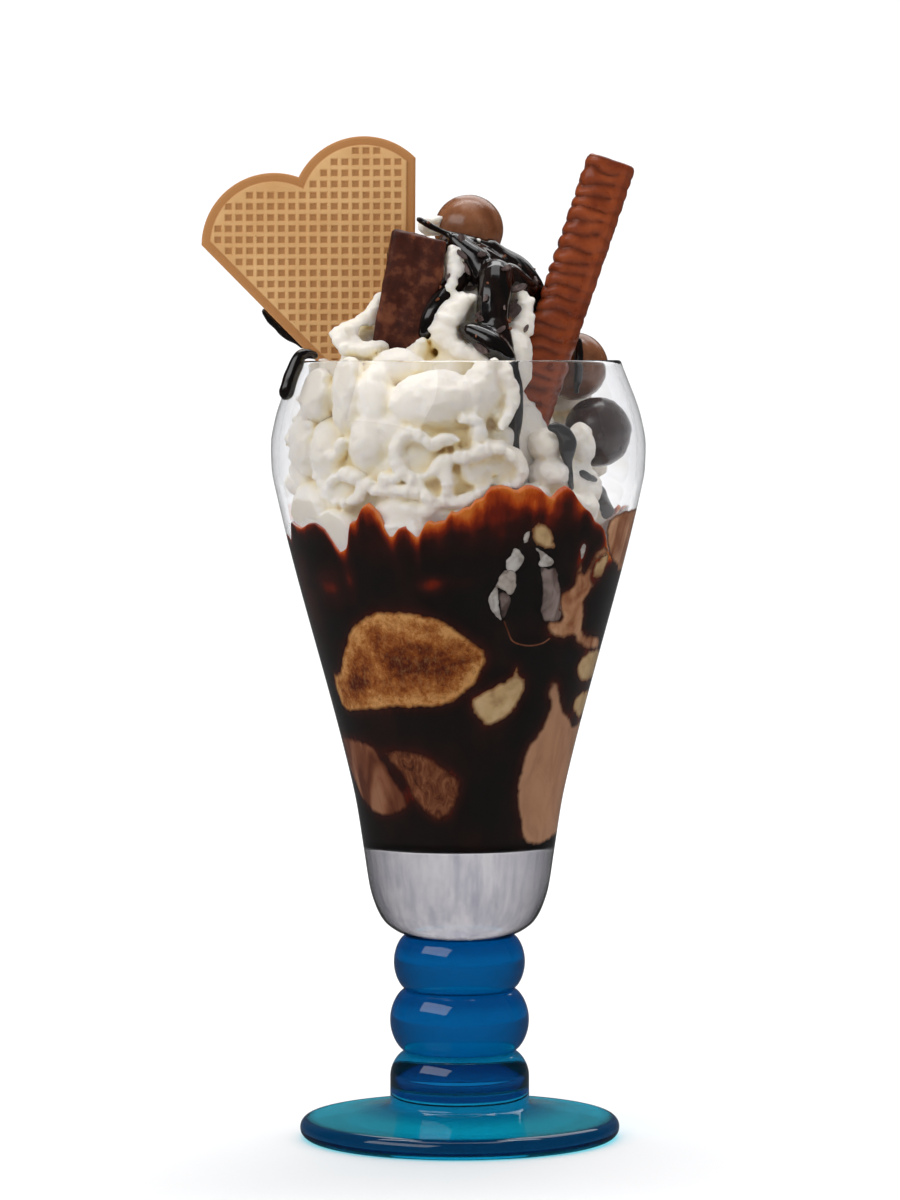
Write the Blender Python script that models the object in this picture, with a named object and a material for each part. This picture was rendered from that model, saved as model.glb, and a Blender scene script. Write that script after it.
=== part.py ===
"""An ice cream sundae built together with its footed glass.

Metres, +Z up. The origin is the centre of the foot's flat underside and the front faces -Y.
The glass is turned, the contents are fitted to its inside, and the toppings stand in the cream.
"""

import math
import random

import bmesh
import bpy
from mathutils import Matrix, Vector

GAP = 0.0003  # space left between pieces that touch

# Clear bowl: outer outline as (height, radius) at its turning points
BOWL_OUTLINE = (
    (0.0519, 0.0134),
    (0.0530, 0.0160),
    (0.0555, 0.0192),
    (0.0590, 0.0212),
    (0.0640, 0.0228),
    (0.0735, 0.0243),
    (0.0863, 0.0263),
    (0.0966, 0.0286),
    (0.1656, 0.0465),
    (0.1710, 0.0475),
    (0.1770, 0.0477),
    (0.1834, 0.0467),
    (0.1980, 0.0415),
)
BOWL_STEPS = (1, 1, 1, 1, 1, 1, 1, 1, 1, 1, 2, 2)
RIM_TOP = 0.1986
RIM_HALF = 0.0010
WALL = 0.0020
FLOOR = 0.0750
CONE_BASE = 0.0966
FLOOR_CORNER = 0.0030
OPEN_TOP = 0.3000
CORNER_STEPS = 2
GLASS_SIDES = 48

# Coloured stem: stacked rings on a disc foot
STEM_TOP = 0.0516
STEM_NECK = 0.0132
GROOVES = (0.0381, 0.0221)
GROOVE_RADIUS = 0.0136
RING_RADII = (0.0168, 0.0178, 0.0178)
RING_FULLNESS = 0.55
RING_STEPS = 4
COLLAR_BASE = 0.0090
FOOT_RADIUS = 0.0409
FOOT_UNDERSIDE_RADIUS = 0.0385
FOOT_EDGE = 0.0052
FOOT_TOP = 0.0078
FOOT_SIDES = 32
FOOT_EDGE_TURNS = (-45, 0, 45)

# Dark sauce that lines the cone, with a toothed upper edge on the wall
FILL_SIDES = 64
FILL_ROWS = 1
FILL_LEVEL = 0.1470
LIP_THICKNESS = 0.0024
LIP_FOOT = 0.0040
CROWN_BASE = 0.1520
CROWN_TOP = 0.1690
CROWN_SLOPE = 0.0009  # fall per degree away from a peak
CROWN_PEAKS = (
    (-72, 0.1591),
    (-57, 0.1589),
    (-37, 0.1593),
    (-30, 0.1640),
    (-18, 0.1581),
    (-8, 0.1598),
    (-1, 0.1625),
    (6, 0.1652),
    (13, 0.1681),
    (24, 0.1678),
    (36, 0.1676),
    (45, 0.1622),
    (57, 0.1569),
)
BACK_PEAK_ANGLES = range(72, 284, 11)
BACK_PEAK_HEIGHTS = (0.1545, 0.1640)
BACK_PEAK_SHIFT = 3

# Ice cream that shows through the sauce: (centre, radii)
SCOOP_FRONT = ((-0.0075, -0.0185, 0.1235), (0.0200, 0.0180, 0.0160))
SCOOP_LOW = ((-0.0090, -0.0075, 0.0915), (0.0165, 0.0165, 0.0125))
SCOOP_RIGHT = ((0.0185, -0.0020, 0.0960), (0.0170, 0.0190, 0.0205))
SCOOP_UPPER = ((0.0210, 0.0080, 0.1460), (0.0235, 0.0240, 0.0205))
SCOOP_BACK = ((-0.0100, 0.0180, 0.1190), (0.0200, 0.0190, 0.0180))
SCOOP_SMALL = ((0.0130, -0.0265, 0.1145), (0.0075, 0.0080, 0.0075))

# Cream seen in the gap of the sauce
WINDOW_CENTRE = (0.0165, -0.0330, 0.1425)
WINDOW_RADII = (0.0090, 0.0060, 0.0135)

# Whipped cream: rounded bodies as (centre, radii)
CREAM_BODIES = (
    ((-0.0100, 0.0020, 0.1750), (0.0360, 0.0420, 0.0330)),
    ((0.0000, 0.0000, 0.2000), (0.0235, 0.0215, 0.0250)),
    ((0.0020, 0.0040, 0.2180), (0.0120, 0.0110, 0.0120)),
    ((-0.0067, -0.0350, 0.1890), (0.0140, 0.0070, 0.0085)),
    ((-0.0330, -0.0210, 0.1885), (0.0070, 0.0090, 0.0100)),
    ((-0.0280, -0.0270, 0.1860), (0.0060, 0.0070, 0.0130)),
    ((-0.0180, -0.0180, 0.2050), (0.0100, 0.0090, 0.0100)),
    ((-0.0060, -0.0190, 0.2010), (0.0090, 0.0080, 0.0090)),
    ((-0.0300, -0.0300, 0.1600), (0.0070, 0.0070, 0.0080)),
    ((-0.0050, -0.0400, 0.1640), (0.0120, 0.0060, 0.0080)),
)
# Piped loops: (centre, half width, half height, rope radius, start angle, sweep)
CREAM_LOOPS = (
    ((-0.0004, -0.0210, 0.2074), 0.0050, 0.0068, 0.0027, 50, 250),
    ((0.0160, -0.0160, 0.2060), 0.0045, 0.0080, 0.0025, -110, 220),
    ((-0.0250, -0.0165, 0.2060), 0.0070, 0.0048, 0.0024, 20, 330),
    ((-0.0092, -0.0385, 0.1790), 0.0075, 0.0055, 0.0024, 0, 360),
    ((0.0075, -0.0385, 0.1714), 0.0085, 0.0060, 0.0025, 0, 360),
    ((-0.0275, -0.0310, 0.1678), 0.0055, 0.0052, 0.0024, 0, 360),
    ((-0.0160, -0.0390, 0.1680), 0.0065, 0.0030, 0.0022, 30, 300),
    ((-0.0200, -0.0370, 0.1780), 0.0050, 0.0060, 0.0022, 60, 260),
)
BACK_LOOP_COUNT = 16
BACK_LOOP_ANGLES = (85, 275)
BACK_LOOP_HEIGHTS = (0.1640, 0.2060)
BACK_LOOP_WALL = 0.0040  # how far inside the glass the back loops are centred
BACK_LOOP_REACH = 0.0400  # and how far from the axis above the rim
BACK_LOOP_SINK = 0.0020
BACK_LOOP_SIZES = (0.0050, 0.0085)
BACK_LOOP_FLATNESS = 0.75
BACK_LOOP_RADIUS = 0.0025
BACK_LOOP_STARTS = (0, 90)
BACK_LOOP_SWEEP = 330
LOOP_SIDES = 8
LOOP_STEPS = 18
LOOP_SWELL = 0.12  # how much a loop's rope swells and thins
LOOP_SWELL_TURN = 2.4  # radians of that swelling per step
ROPE_END = 0.8  # how far the closing point of a rope stands out, in radii
ROUNDED_DETAIL = 2
CREAM_VOXEL = 0.0013
CREAM_KEEP = 0.024

# Cream lumps beside the stick
LUMPS = (
    ((0.0215, -0.0265, 0.1774), (0.0045, 0.0050, 0.0041)),
    ((0.0302, -0.0200, 0.1774), (0.0034, 0.0050, 0.0053)),
    ((0.0226, -0.0268, 0.1702), (0.0056, 0.0060, 0.0043)),
    ((0.0310, -0.0200, 0.1673), (0.0032, 0.0045, 0.0030)),
    ((0.0260, -0.0190, 0.1670), (0.0090, 0.0090, 0.0080)),
    ((0.0245, -0.0240, 0.1610), (0.0100, 0.0090, 0.0070)),
    ((0.0180, -0.0305, 0.1630), (0.0060, 0.0060, 0.0050)),
)

# Heart wafer
LOBE_RADIUS = 0.0186
LOBE_OFFSET = 0.0124
LOBE_HEIGHT = 0.0642
TIP_HALF_ANGLE = math.radians(22.5)
HEART_LEAN = math.radians(22.0)
WAFER_TIP = (-0.0114, 0.0080, 0.1731)
FLANGE_WIDTH = 0.0022
FLANGE_THICKNESS = 0.0016
FIELD_THICKNESS = 0.0024
RIB_HEIGHT = 0.0006
RIB_WIDTH = 0.0010
RIB_PITCH = 0.00283
RIB_INSET = 0.0030
LOBE_STEPS = 9
EDGE_STEPS = 2

# Chocolate bar and ribbed stick
BAR_TOP = (-0.0094, -0.0120, 0.2300)
BAR_SIZE = (0.0140, 0.0080, 0.0400)
BAR_LEAN = math.radians(10.6)
BAR_EDGE = 0.0009
STICK_TOP = (0.0389, -0.0100, 0.2490)
STICK_LENGTH = 0.0800
STICK_HALF_WIDTH = 0.0062
STICK_HALF_DEPTH = 0.0052
STICK_LEAN = math.radians(18.7)
STICK_SIDES = 10
STICK_PITCH = 0.0033
STICK_RIPPLE = 0.0006
STICK_SQUARENESS = 0.62
STICK_END_SHARE = 0.86  # how much of its width is left at the rounded ends
STICK_SKEW = 0.25  # lean of the ripples, in pitches
STICK_CALM_SIDE = 0.3  # past this cosine the ripples are shallower
STICK_CALM_SHARE = 1 / 3
RINGS_PER_RIPPLE = 2

# Chocolate balls
BALL_RADIUS = 0.00885
BALL_SIDES = 20
BALL_TOP = (0.0028, 0.0020, 0.2319)
BALL_UPPER = (0.0296, 0.0060, 0.1969)
BALL_LOWER = (0.0355, 0.0000, 0.1802)

# Sauce poured over the heap: runs as (points, radii)
TOP_RUNS = (
    (
        (
            (-0.0040, -0.0050, 0.2285),
            (0.0035, -0.0110, 0.2245),
            (0.0095, -0.0125, 0.2180),
            (0.0118, -0.0175, 0.2080),
        ),
        (0.0035, 0.0050, 0.0062, 0.0050),
    ),
    (
        (
            (0.0110, -0.0170, 0.2100),
            (0.0120, -0.0215, 0.2010),
            (0.0140, -0.0240, 0.1930),
            (0.0140, -0.0265, 0.1700),
        ),
        (0.0048, 0.0036, 0.0024, 0.0020),
    ),
    (
        (
            (0.0040, -0.0080, 0.2230),
            (0.0120, -0.0040, 0.2190),
            (0.0180, -0.0010, 0.2150),
            (0.0200, 0.0060, 0.2060),
        ),
        (0.0050, 0.0050, 0.0042, 0.0026),
    ),
    (
        (
            (0.0020, -0.0080, 0.2220),
            (-0.0020, -0.0140, 0.2140),
            (-0.0045, -0.0180, 0.2080),
            (-0.0060, -0.0200, 0.2040),
        ),
        (0.0045, 0.0042, 0.0034, 0.0022),
    ),
    (
        (
            (0.0040, 0.0040, 0.2230),
            (0.0020, 0.0130, 0.2180),
            (-0.0010, 0.0190, 0.2090),
            (-0.0030, 0.0220, 0.1980),
        ),
        (0.0045, 0.0044, 0.0032, 0.0022),
    ),
)
RUN_SIDES = 7
RUN_STEPS = 3
# Flakes lying on that sauce: (centre, length, width, thickness, turn about Y, tilt)
FLAKES = (
    ((-0.0045, -0.0085, 0.2315), 0.0075, 0.0024, 0.0007, 25, 30),
    ((0.0125, -0.0240, 0.2135), 0.0062, 0.0042, 0.0008, -20, -50),
    ((0.0125, -0.0200, 0.2185), 0.0060, 0.0030, 0.0007, 10, -25),
    ((0.0090, -0.0262, 0.2025), 0.0052, 0.0030, 0.0008, -15, 35),
    ((0.0015, -0.0180, 0.2185), 0.0060, 0.0020, 0.0007, 40, 45),
    ((0.0150, -0.0040, 0.2250), 0.0045, 0.0026, 0.0007, 60, 10),
)
# Outline of a flake, as shares of its length and width
FLAKE_OUTLINE = ((-0.5, -0.35), (-0.1, -0.5), (0.5, -0.1), (0.3, 0.45), (-0.3, 0.5))
# Sauce running down the lumps of cream beside the stick
RIGHT_DRIP = (
    (
        (0.0227, -0.0306, 0.1818),
        (0.0250, -0.0298, 0.1811),
        (0.0266, -0.0292, 0.1786),
        (0.0267, -0.0296, 0.1756),
        (0.0270, -0.0300, 0.1721),
        (0.0276, -0.0298, 0.1670),
    ),
    (0.0010, 0.0015, 0.0020, 0.0017, 0.0011, 0.0010),
)
# Sauce hanging over the rim: places as (distance from the axis, height), at one angle left of the front
RIM_DRIP_ANGLE = math.radians(-67.5)
RIM_DRIP_WAY = (
    (0.0392, 0.1999),
    (0.0410, 0.2003),
    (0.0428, 0.1998),
    (0.0441, 0.1975),
    (0.0456, 0.1940),
    (0.0467, 0.1905),
)
RIM_DRIP_RADII = (0.0011, 0.0013, 0.0015, 0.0018, 0.0019, 0.0019)

# Materials: name -> (colour, roughness, transmission)
MATERIALS = {
    "clear_glass": ((0.90, 0.91, 0.92), 0.03, 1.0),
    "blue_glass": ((0.0, 0.11, 0.33), 0.04, 1.0),
    "chocolate_sauce": ((0.012, 0.005, 0.003), 0.12, 0.0),
    "cream": ((0.80, 0.77, 0.68), 0.55, 0.0),
    "caramel_ice_cream": ((0.36, 0.16, 0.06), 0.60, 0.0),
    "chocolate_ice_cream": ((0.22, 0.10, 0.06), 0.60, 0.0),
    "milk_chocolate": ((0.19, 0.07, 0.035), 0.35, 0.0),
    "dark_chocolate": ((0.055, 0.018, 0.012), 0.45, 0.0),
    "wafer": ((0.62, 0.33, 0.12), 0.75, 0.0),
}
SEED = 11


def clear_scene():
    """Remove whatever the scene starts with."""
    for obj in list(bpy.data.objects):
        bpy.data.objects.remove(obj, do_unlink=True)


def make_material(name):
    """The plain Principled material of this name."""
    colour, roughness, transmission = MATERIALS[name]
    material = bpy.data.materials.new(name)
    material.use_nodes = True
    shader = material.node_tree.nodes["Principled BSDF"]
    shader.inputs["Base Color"].default_value = (*colour, 1.0)
    shader.inputs["Roughness"].default_value = roughness
    shader.inputs["Transmission Weight"].default_value = transmission
    return material


def new_object(name, mesh, material=None):
    """Link a mesh object into the scene."""
    obj = bpy.data.objects.new(name, mesh)
    bpy.context.scene.collection.objects.link(obj)
    if material:
        mesh.materials.append(material)
    return obj


def object_from(name, body, material=None):
    """Turn a bmesh into a linked object with its faces outward."""
    bmesh.ops.recalc_face_normals(body, faces=body.faces)
    mesh = bpy.data.meshes.new(name)
    body.to_mesh(mesh)
    body.free()
    return new_object(name, mesh, material)


def skin(name, first, rings, last, material=None):
    """Close a body from a first point through rings of equal count to a last point."""
    body = bmesh.new()
    start = body.verts.new(first)
    rows = [[body.verts.new(point) for point in ring] for ring in rings]
    end = body.verts.new(last)
    count = len(rows[0])
    for side in range(count):
        after = (side + 1) % count
        body.faces.new((start, rows[0][after], rows[0][side]))
        for low, high in zip(rows, rows[1:]):
            body.faces.new((low[side], low[after], high[after], high[side]))
        body.faces.new((end, rows[-1][side], rows[-1][after]))
    return object_from(name, body, material)


def shade(obj, smooth):
    """Smooth or flat shading on every face."""
    for polygon in obj.data.polygons:
        polygon.use_smooth = smooth
    return obj


def applied(obj):
    """Apply an object's modifiers to its mesh."""
    graph = bpy.context.evaluated_depsgraph_get()
    mesh = bpy.data.meshes.new_from_object(obj.evaluated_get(graph))
    old = obj.data
    obj.modifiers.clear()
    obj.data = mesh
    bpy.data.meshes.remove(old)
    return obj


def cut(obj, cutter, operation="DIFFERENCE"):
    """One Boolean with a throwaway second object."""
    modifier = obj.modifiers.new("cut", "BOOLEAN")
    modifier.operation = operation
    modifier.solver = "EXACT"
    modifier.object = cutter
    applied(obj)
    bpy.data.objects.remove(cutter, do_unlink=True)
    return obj


def largest_only(obj):
    """Keep the biggest closed shell and drop loose scraps."""
    body = bmesh.new()
    body.from_mesh(obj.data)
    bmesh.ops.triangulate(body, faces=body.faces)
    left = set(body.verts)
    shells = []
    while left:
        shell = []
        edge_of = [left.pop()]
        while edge_of:
            vert = edge_of.pop()
            shell.append(vert)
            for edge in vert.link_edges:
                other = edge.other_vert(vert)
                if other in left:
                    left.remove(other)
                    edge_of.append(other)
        shells.append(shell)
    shells.sort(key=len)
    for shell in shells[:-1]:
        bmesh.ops.delete(body, geom=shell, context="VERTS")
    body.to_mesh(obj.data)
    body.free()
    return obj


def outline_curve(stations):
    """A smooth rule from height to radius through the stations, without overshoot."""
    heights = [station[0] for station in stations]
    radii = [station[1] for station in stations]
    slopes = [(b - a) / (d - c) for a, b, c, d in zip(radii, radii[1:], heights, heights[1:])]
    tangents = [slopes[0]]
    for before, after in zip(slopes, slopes[1:]):
        tangents.append(2 * before * after / (before + after) if before * after > 0 else 0.0)
    tangents.append(slopes[-1])

    def radius(height):
        index = 0
        while index < len(slopes) - 1 and height > heights[index + 1]:
            index += 1
        span = heights[index + 1] - heights[index]
        t = min(max((height - heights[index]) / span, 0.0), 1.0)
        blend = t * t * (3 - 2 * t)
        lift = t * (1 - t) * ((1 - t) * tangents[index] - t * tangents[index + 1]) * span
        return radii[index] * (1 - blend) + radii[index + 1] * blend + lift

    return radius


outer_radius = outline_curve(BOWL_OUTLINE)


def bowl_heights():
    """Heights at which the bowl's outline is turned."""
    heights = [BOWL_OUTLINE[0][0]]
    for low, high, steps in zip(BOWL_OUTLINE, BOWL_OUTLINE[1:], BOWL_STEPS):
        for step in range(1, steps + 1):
            heights.append(low[0] + (high[0] - low[0]) * step / steps)
    return heights


def inner_radius(height):
    """Radius of the bowl's inside, straight between the turned heights."""
    heights = bowl_heights()
    height = min(height, heights[-1])
    index = 0
    while index < len(heights) - 2 and height > heights[index + 1]:
        index += 1
    t = (height - heights[index]) / (heights[index + 1] - heights[index])
    return outer_radius(heights[index]) * (1 - t) + outer_radius(heights[index + 1]) * t - WALL


def floor_corner(clearance):
    """Quarter turn between the bowl's floor and its inner wall, pulled in by a clearance."""
    wall = inner_radius(FLOOR + FLOOR_CORNER)
    points = []
    for step in range(CORNER_STEPS + 1):
        angle = math.pi / 2 * step / CORNER_STEPS
        radius = wall - FLOOR_CORNER + (FLOOR_CORNER - clearance) * math.sin(angle)
        height = FLOOR + FLOOR_CORNER - (FLOOR_CORNER - clearance) * math.cos(angle)
        points.append((radius, height))
    return points


def circle(radius, height, sides):
    """Points of a level circle round the axis."""
    turns = [2 * math.pi * side / sides for side in range(sides)]
    return [Vector((radius * math.cos(turn), radius * math.sin(turn), height)) for turn in turns]


def turned(name, profile, sides, material=None):
    """A solid turned from a profile whose first and last points lie on the axis."""
    rings = [circle(radius, height, sides) for radius, height in profile[1:-1]]
    return skin(name, (0, 0, profile[0][1]), rings, (0, 0, profile[-1][1]), material)


def glass_bowl(material):
    """The clear bowl with its thick solid base and rounded rim."""
    heights = bowl_heights()
    profile = [(0.0, heights[0])]
    profile += [(outer_radius(height), height) for height in heights]
    rim = outer_radius(heights[-1]) - RIM_HALF
    profile.append((rim + RIM_HALF / 2, RIM_TOP - RIM_HALF / 4))
    profile.append((rim, RIM_TOP))
    profile.append((rim - RIM_HALF / 2, RIM_TOP - RIM_HALF / 4))
    inside = [height for height in heights if height > FLOOR + FLOOR_CORNER]
    profile += [(inner_radius(height), height) for height in reversed(inside)]
    profile += reversed(floor_corner(0.0))
    profile.append((0.0, FLOOR))
    return shade(turned("glass_bowl", profile, GLASS_SIDES, material), True)


def stem_foot(material):
    """The coloured stem of three stacked rings standing on a disc foot."""
    profile = [(0.0, 0.0), (FOOT_UNDERSIDE_RADIUS, 0.0)]
    middle = FOOT_EDGE / 2
    for angle in FOOT_EDGE_TURNS:
        reach = FOOT_RADIUS - FOOT_UNDERSIDE_RADIUS
        turn = math.radians(angle)
        profile.append((FOOT_UNDERSIDE_RADIUS + reach * math.cos(turn), middle + middle * math.sin(turn)))
    profile.append((FOOT_UNDERSIDE_RADIUS, FOOT_EDGE))
    profile.append((RING_RADII[-1] + (FOOT_RADIUS - RING_RADII[-1]) / 3, (FOOT_EDGE + FOOT_TOP) / 2))
    profile.append((RING_RADII[-1] + (FOOT_TOP - FOOT_EDGE) / 2, FOOT_TOP))
    profile.append((RING_RADII[-1], COLLAR_BASE))
    middle = (GROOVES[1] + COLLAR_BASE) / 2
    bands = ((GROOVES[1], middle, RING_RADII[2]), (GROOVES[0], GROOVES[1], RING_RADII[1]))
    bands += ((STEM_TOP, GROOVES[0], RING_RADII[0]),)
    for index, (top, bottom, radius) in enumerate(bands):
        for step in range(1, RING_STEPS + 1):
            t = step / RING_STEPS
            rise = math.cos(math.pi / 2 * t) if index == 0 else math.sin(math.pi * t)
            groove = GROOVE_RADIUS if step < RING_STEPS or index < 2 else STEM_NECK
            bulge = max(rise, 0.0) ** RING_FULLNESS
            profile.append((groove + (radius - groove) * bulge, bottom + (top - bottom) * t))
    profile.append((0.0, STEM_TOP))
    return shade(turned("stem_foot", profile, FOOT_SIDES, material), True)


def cavity():
    """The space inside the bowl, pulled in by the gap and carried straight up past the rim."""
    profile = [(0.0, FLOOR + GAP)]
    profile += floor_corner(GAP)
    inside = [height for height in bowl_heights() if height > FLOOR + FLOOR_CORNER]
    profile += [(inner_radius(height) - GAP, height) for height in inside]
    profile.append((inner_radius(RIM_TOP) - GAP, OPEN_TOP))
    profile.append((0.0, OPEN_TOP))
    return turned("cavity", profile, GLASS_SIDES)


def cream_room():
    """The space the cream may take: above the sauce's level, inside its lip, then out to the wall."""
    lip = LIP_THICKNESS + 2 * GAP
    profile = [(0.0, FILL_LEVEL + GAP), (inner_radius(FILL_LEVEL) - LIP_FOOT - 2 * GAP, FILL_LEVEL + GAP)]
    inside = [height for height in bowl_heights() if height > CROWN_TOP]
    profile.append((inner_radius(CROWN_TOP) - lip, CROWN_TOP))
    profile.append((inner_radius(CROWN_TOP + lip) - GAP, CROWN_TOP + lip))
    profile += [(inner_radius(height) - GAP, height) for height in inside if height > CROWN_TOP + lip]
    profile.append((inner_radius(RIM_TOP) - GAP, OPEN_TOP))
    profile.append((0.0, OPEN_TOP))
    return turned("room", profile, GLASS_SIDES)


def inside_glass(obj):
    """Trim a body to the space inside the glass."""
    return cut(obj, cavity(), "INTERSECT")


def ellipsoid(name, centre, radii, grown=0.0, material=None):
    """A rounded body, optionally grown outward."""
    body = bmesh.new()
    bmesh.ops.create_icosphere(body, subdivisions=ROUNDED_DETAIL, radius=1.0)
    scale = Matrix.Diagonal((*[radius + grown for radius in radii], 1.0))
    bmesh.ops.transform(body, matrix=Matrix.Translation(centre) @ scale, verts=body.verts)
    return object_from(name, body, material)


def spline(points, steps):
    """Points along a smooth curve through the given ones."""
    line = [Vector(point) for point in points]
    line = [2 * line[0] - line[1], *line, 2 * line[-1] - line[-2]]
    result = []
    for a, b, c, d in zip(line, line[1:], line[2:], line[3:]):
        for step in range(steps):
            t = step / steps
            near = 2 * b + (c - a) * t + (2 * a - 5 * b + 4 * c - d) * t**2
            result.append((near + (3 * b - a - 3 * c + d) * t**3) / 2)
    result.append(line[-2])
    return result


def rope(name, points, radii, sides, material=None):
    """A closed rounded body along a line of points with a radius at each."""
    rings = []
    ahead = [(after - before).normalized() for before, after in zip(points, points[1:])]
    ahead.append(ahead[-1])
    across = ahead[0].orthogonal().normalized()
    for point, radius, direction in zip(points, radii, ahead):
        across = (across - direction * across.dot(direction)).normalized()
        other = direction.cross(across)
        ring = []
        for side in range(sides):
            angle = 2 * math.pi * side / sides
            ring.append(point + radius * (across * math.cos(angle) + other * math.sin(angle)))
        rings.append(ring)
    first = points[0] - ahead[0] * radii[0] * ROPE_END
    last = points[-1] + ahead[-1] * radii[-1] * ROPE_END
    return skin(name, first, rings, last, material)


def run_of(name, run, grown=0.0, material=None):
    """A run of sauce that swells and thins along its way."""
    points = spline(run[0], RUN_STEPS)
    radii = [radius[0] + grown for radius in spline([(value, 0, 0) for value in run[1]], RUN_STEPS)]
    return rope(name, points, radii, RUN_SIDES, material)


def rim_run():
    """The run that goes over the rim and down the outside."""
    across = Vector((math.sin(RIM_DRIP_ANGLE), -math.cos(RIM_DRIP_ANGLE), 0))
    return [across * away + Vector((0, 0, height)) for away, height in RIM_DRIP_WAY], RIM_DRIP_RADII


def crown_peaks():
    """Peaks of the sauce's upper edge all the way round."""
    chance = random.Random(SEED)
    peaks = list(CROWN_PEAKS)
    for angle in BACK_PEAK_ANGLES:
        shift = chance.uniform(-BACK_PEAK_SHIFT, BACK_PEAK_SHIFT)
        peaks.append((angle + shift, chance.uniform(*BACK_PEAK_HEIGHTS)))
    return peaks


def crown_height(angle, peaks):
    """Height of the sauce's edge at an angle measured from the front toward +X."""
    height = CROWN_BASE
    for place, top in peaks:
        away = abs((angle - place + 180) % 360 - 180)
        height = max(height, top - CROWN_SLOPE * away)
    return height


def sauce_body(name, grown, material=None):
    """The sauce as a cup: it fills the cone to a level and climbs the wall in teeth."""
    peaks = crown_peaks()
    clearance = GAP - grown
    level = FILL_LEVEL + grown
    lip = LIP_THICKNESS + grown
    rings = [circle(radius, height, FILL_SIDES) for radius, height in floor_corner(GAP)]
    wall_foot = FLOOR + FLOOR_CORNER
    directions = circle(1.0, 0.0, FILL_SIDES)
    tops = []
    for direction in directions:
        angle = math.degrees(math.atan2(direction.x, -direction.y))
        tops.append(crown_height(angle, peaks) + grown)
    for height in bowl_heights():
        if wall_foot < height < CONE_BASE:
            rings.append(circle(inner_radius(height) - clearance, height, FILL_SIDES))
    for row in range(FILL_ROWS + 1):
        ring = []
        for direction, top in zip(directions, tops):
            height = CONE_BASE + (top - CONE_BASE) * row / FILL_ROWS
            ring.append(direction * (inner_radius(height) - clearance) + Vector((0, 0, height)))
        rings.append(ring)
    inner = []
    for direction, top in zip(directions, tops):
        inner.append(direction * (inner_radius(top) - GAP - lip) + Vector((0, 0, top - lip / 2)))
    rings.append(inner)
    rings.append(circle(inner_radius(level) - LIP_FOOT - grown, level, FILL_SIDES))
    return skin(name, (0, 0, FLOOR + GAP), rings, (0, 0, level), material)


def scoop(name, shape, material, *others):
    """A ball of ice cream pressed against the wall, clear of the others."""
    obj = inside_glass(ellipsoid(name, *shape, material=material))
    for other in others:
        cut(obj, ellipsoid("other", *other, grown=GAP))
    return shade(largest_only(obj), True)


def sauce_fill(material):
    """The sauce, cut round each scoop and the cream in its gap."""
    obj = sauce_body("sauce_fill", 0.0, material)
    shapes = (SCOOP_FRONT, SCOOP_LOW, SCOOP_RIGHT, SCOOP_UPPER, SCOOP_BACK, SCOOP_SMALL)
    for shape in (*shapes, (WINDOW_CENTRE, WINDOW_RADII)):
        cut(obj, ellipsoid("scoop", *shape, grown=GAP))
    return largest_only(obj)


def heart_outline(inset, lift=0.0):
    """Heart outline in the wafer's own plane, tip at the origin and axis up."""
    radius = LOBE_RADIUS - inset
    side = Vector((math.sin(TIP_HALF_ANGLE), math.cos(TIP_HALF_ANGLE)))
    tip = Vector((0, inset / math.sin(TIP_HALF_ANGLE)))
    centre = Vector((LOBE_OFFSET, LOBE_HEIGHT))
    along = (centre - tip).dot(side)
    off = (centre - tip - side * along).length
    corner = tip + side * (along + math.sqrt(radius**2 - off**2))
    start = math.atan2(corner.y - centre.y, corner.x - centre.x)
    end = math.pi - math.acos(LOBE_OFFSET / radius)
    half = [tip + (corner - tip) * step / EDGE_STEPS for step in range(EDGE_STEPS)]
    for step in range(LOBE_STEPS + 1):
        angle = start + (end - start) * step / LOBE_STEPS
        half.append(centre + Vector((math.cos(angle), math.sin(angle))) * radius)
    other = [Vector((-point.x, point.y)) for point in reversed(half[1:-1])]
    turn = Matrix.Rotation(HEART_LEAN, 2)
    return [turn @ point for point in half + other]


def wafer_place(points, depth):
    """Stand plane points up in the glass at a depth from the wafer's middle."""
    tip = Vector(WAFER_TIP)
    return [tip + Vector((point.x, depth, point.y)) for point in points]


def spans(outline, height):
    """Where a level line crosses an outline, left to right."""
    crossings = []
    for a, b in zip(outline, outline[1:] + outline[:1]):
        if (a.y - height) * (b.y - height) < 0:
            crossings.append(a.x + (b.x - a.x) * (height - a.y) / (b.y - a.y))
    crossings.sort()
    return list(zip(crossings[::2], crossings[1::2]))


def box_between(name, low, high):
    """A plain block between two corners."""
    body = bmesh.new()
    bmesh.ops.create_cube(body, size=1.0)
    size = Vector(high) - Vector(low)
    middle = (Vector(high) + Vector(low)) / 2
    place = Matrix.Translation(middle) @ Matrix.Diagonal((*size, 1))
    bmesh.ops.transform(body, matrix=place, verts=body.verts)
    return object_from(name, body)


def wafer_body(name, grown, material=None):
    """The wafer's plate: a raised field inside a thinner flange."""
    flange = FLANGE_THICKNESS / 2 + grown
    field = FIELD_THICKNESS / 2 + grown + (RIB_HEIGHT if grown else 0.0)
    outer = heart_outline(-grown)
    edge = heart_outline(flange / 2 - grown)
    step = heart_outline(FLANGE_WIDTH - grown)
    rings = []
    for side in (-1, 1):
        layers = [(step, field), (step, flange), (edge, flange), (outer, flange / 2)]
        if side > 0:
            layers.reverse()
        rings += [wafer_place(points, side * depth) for points, depth in layers]
    middle = Matrix.Rotation(HEART_LEAN, 2) @ Vector((0, LOBE_HEIGHT))
    first, last = wafer_place([middle], -field) + wafer_place([middle], field)
    return skin(name, first, rings, last, material)


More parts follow.
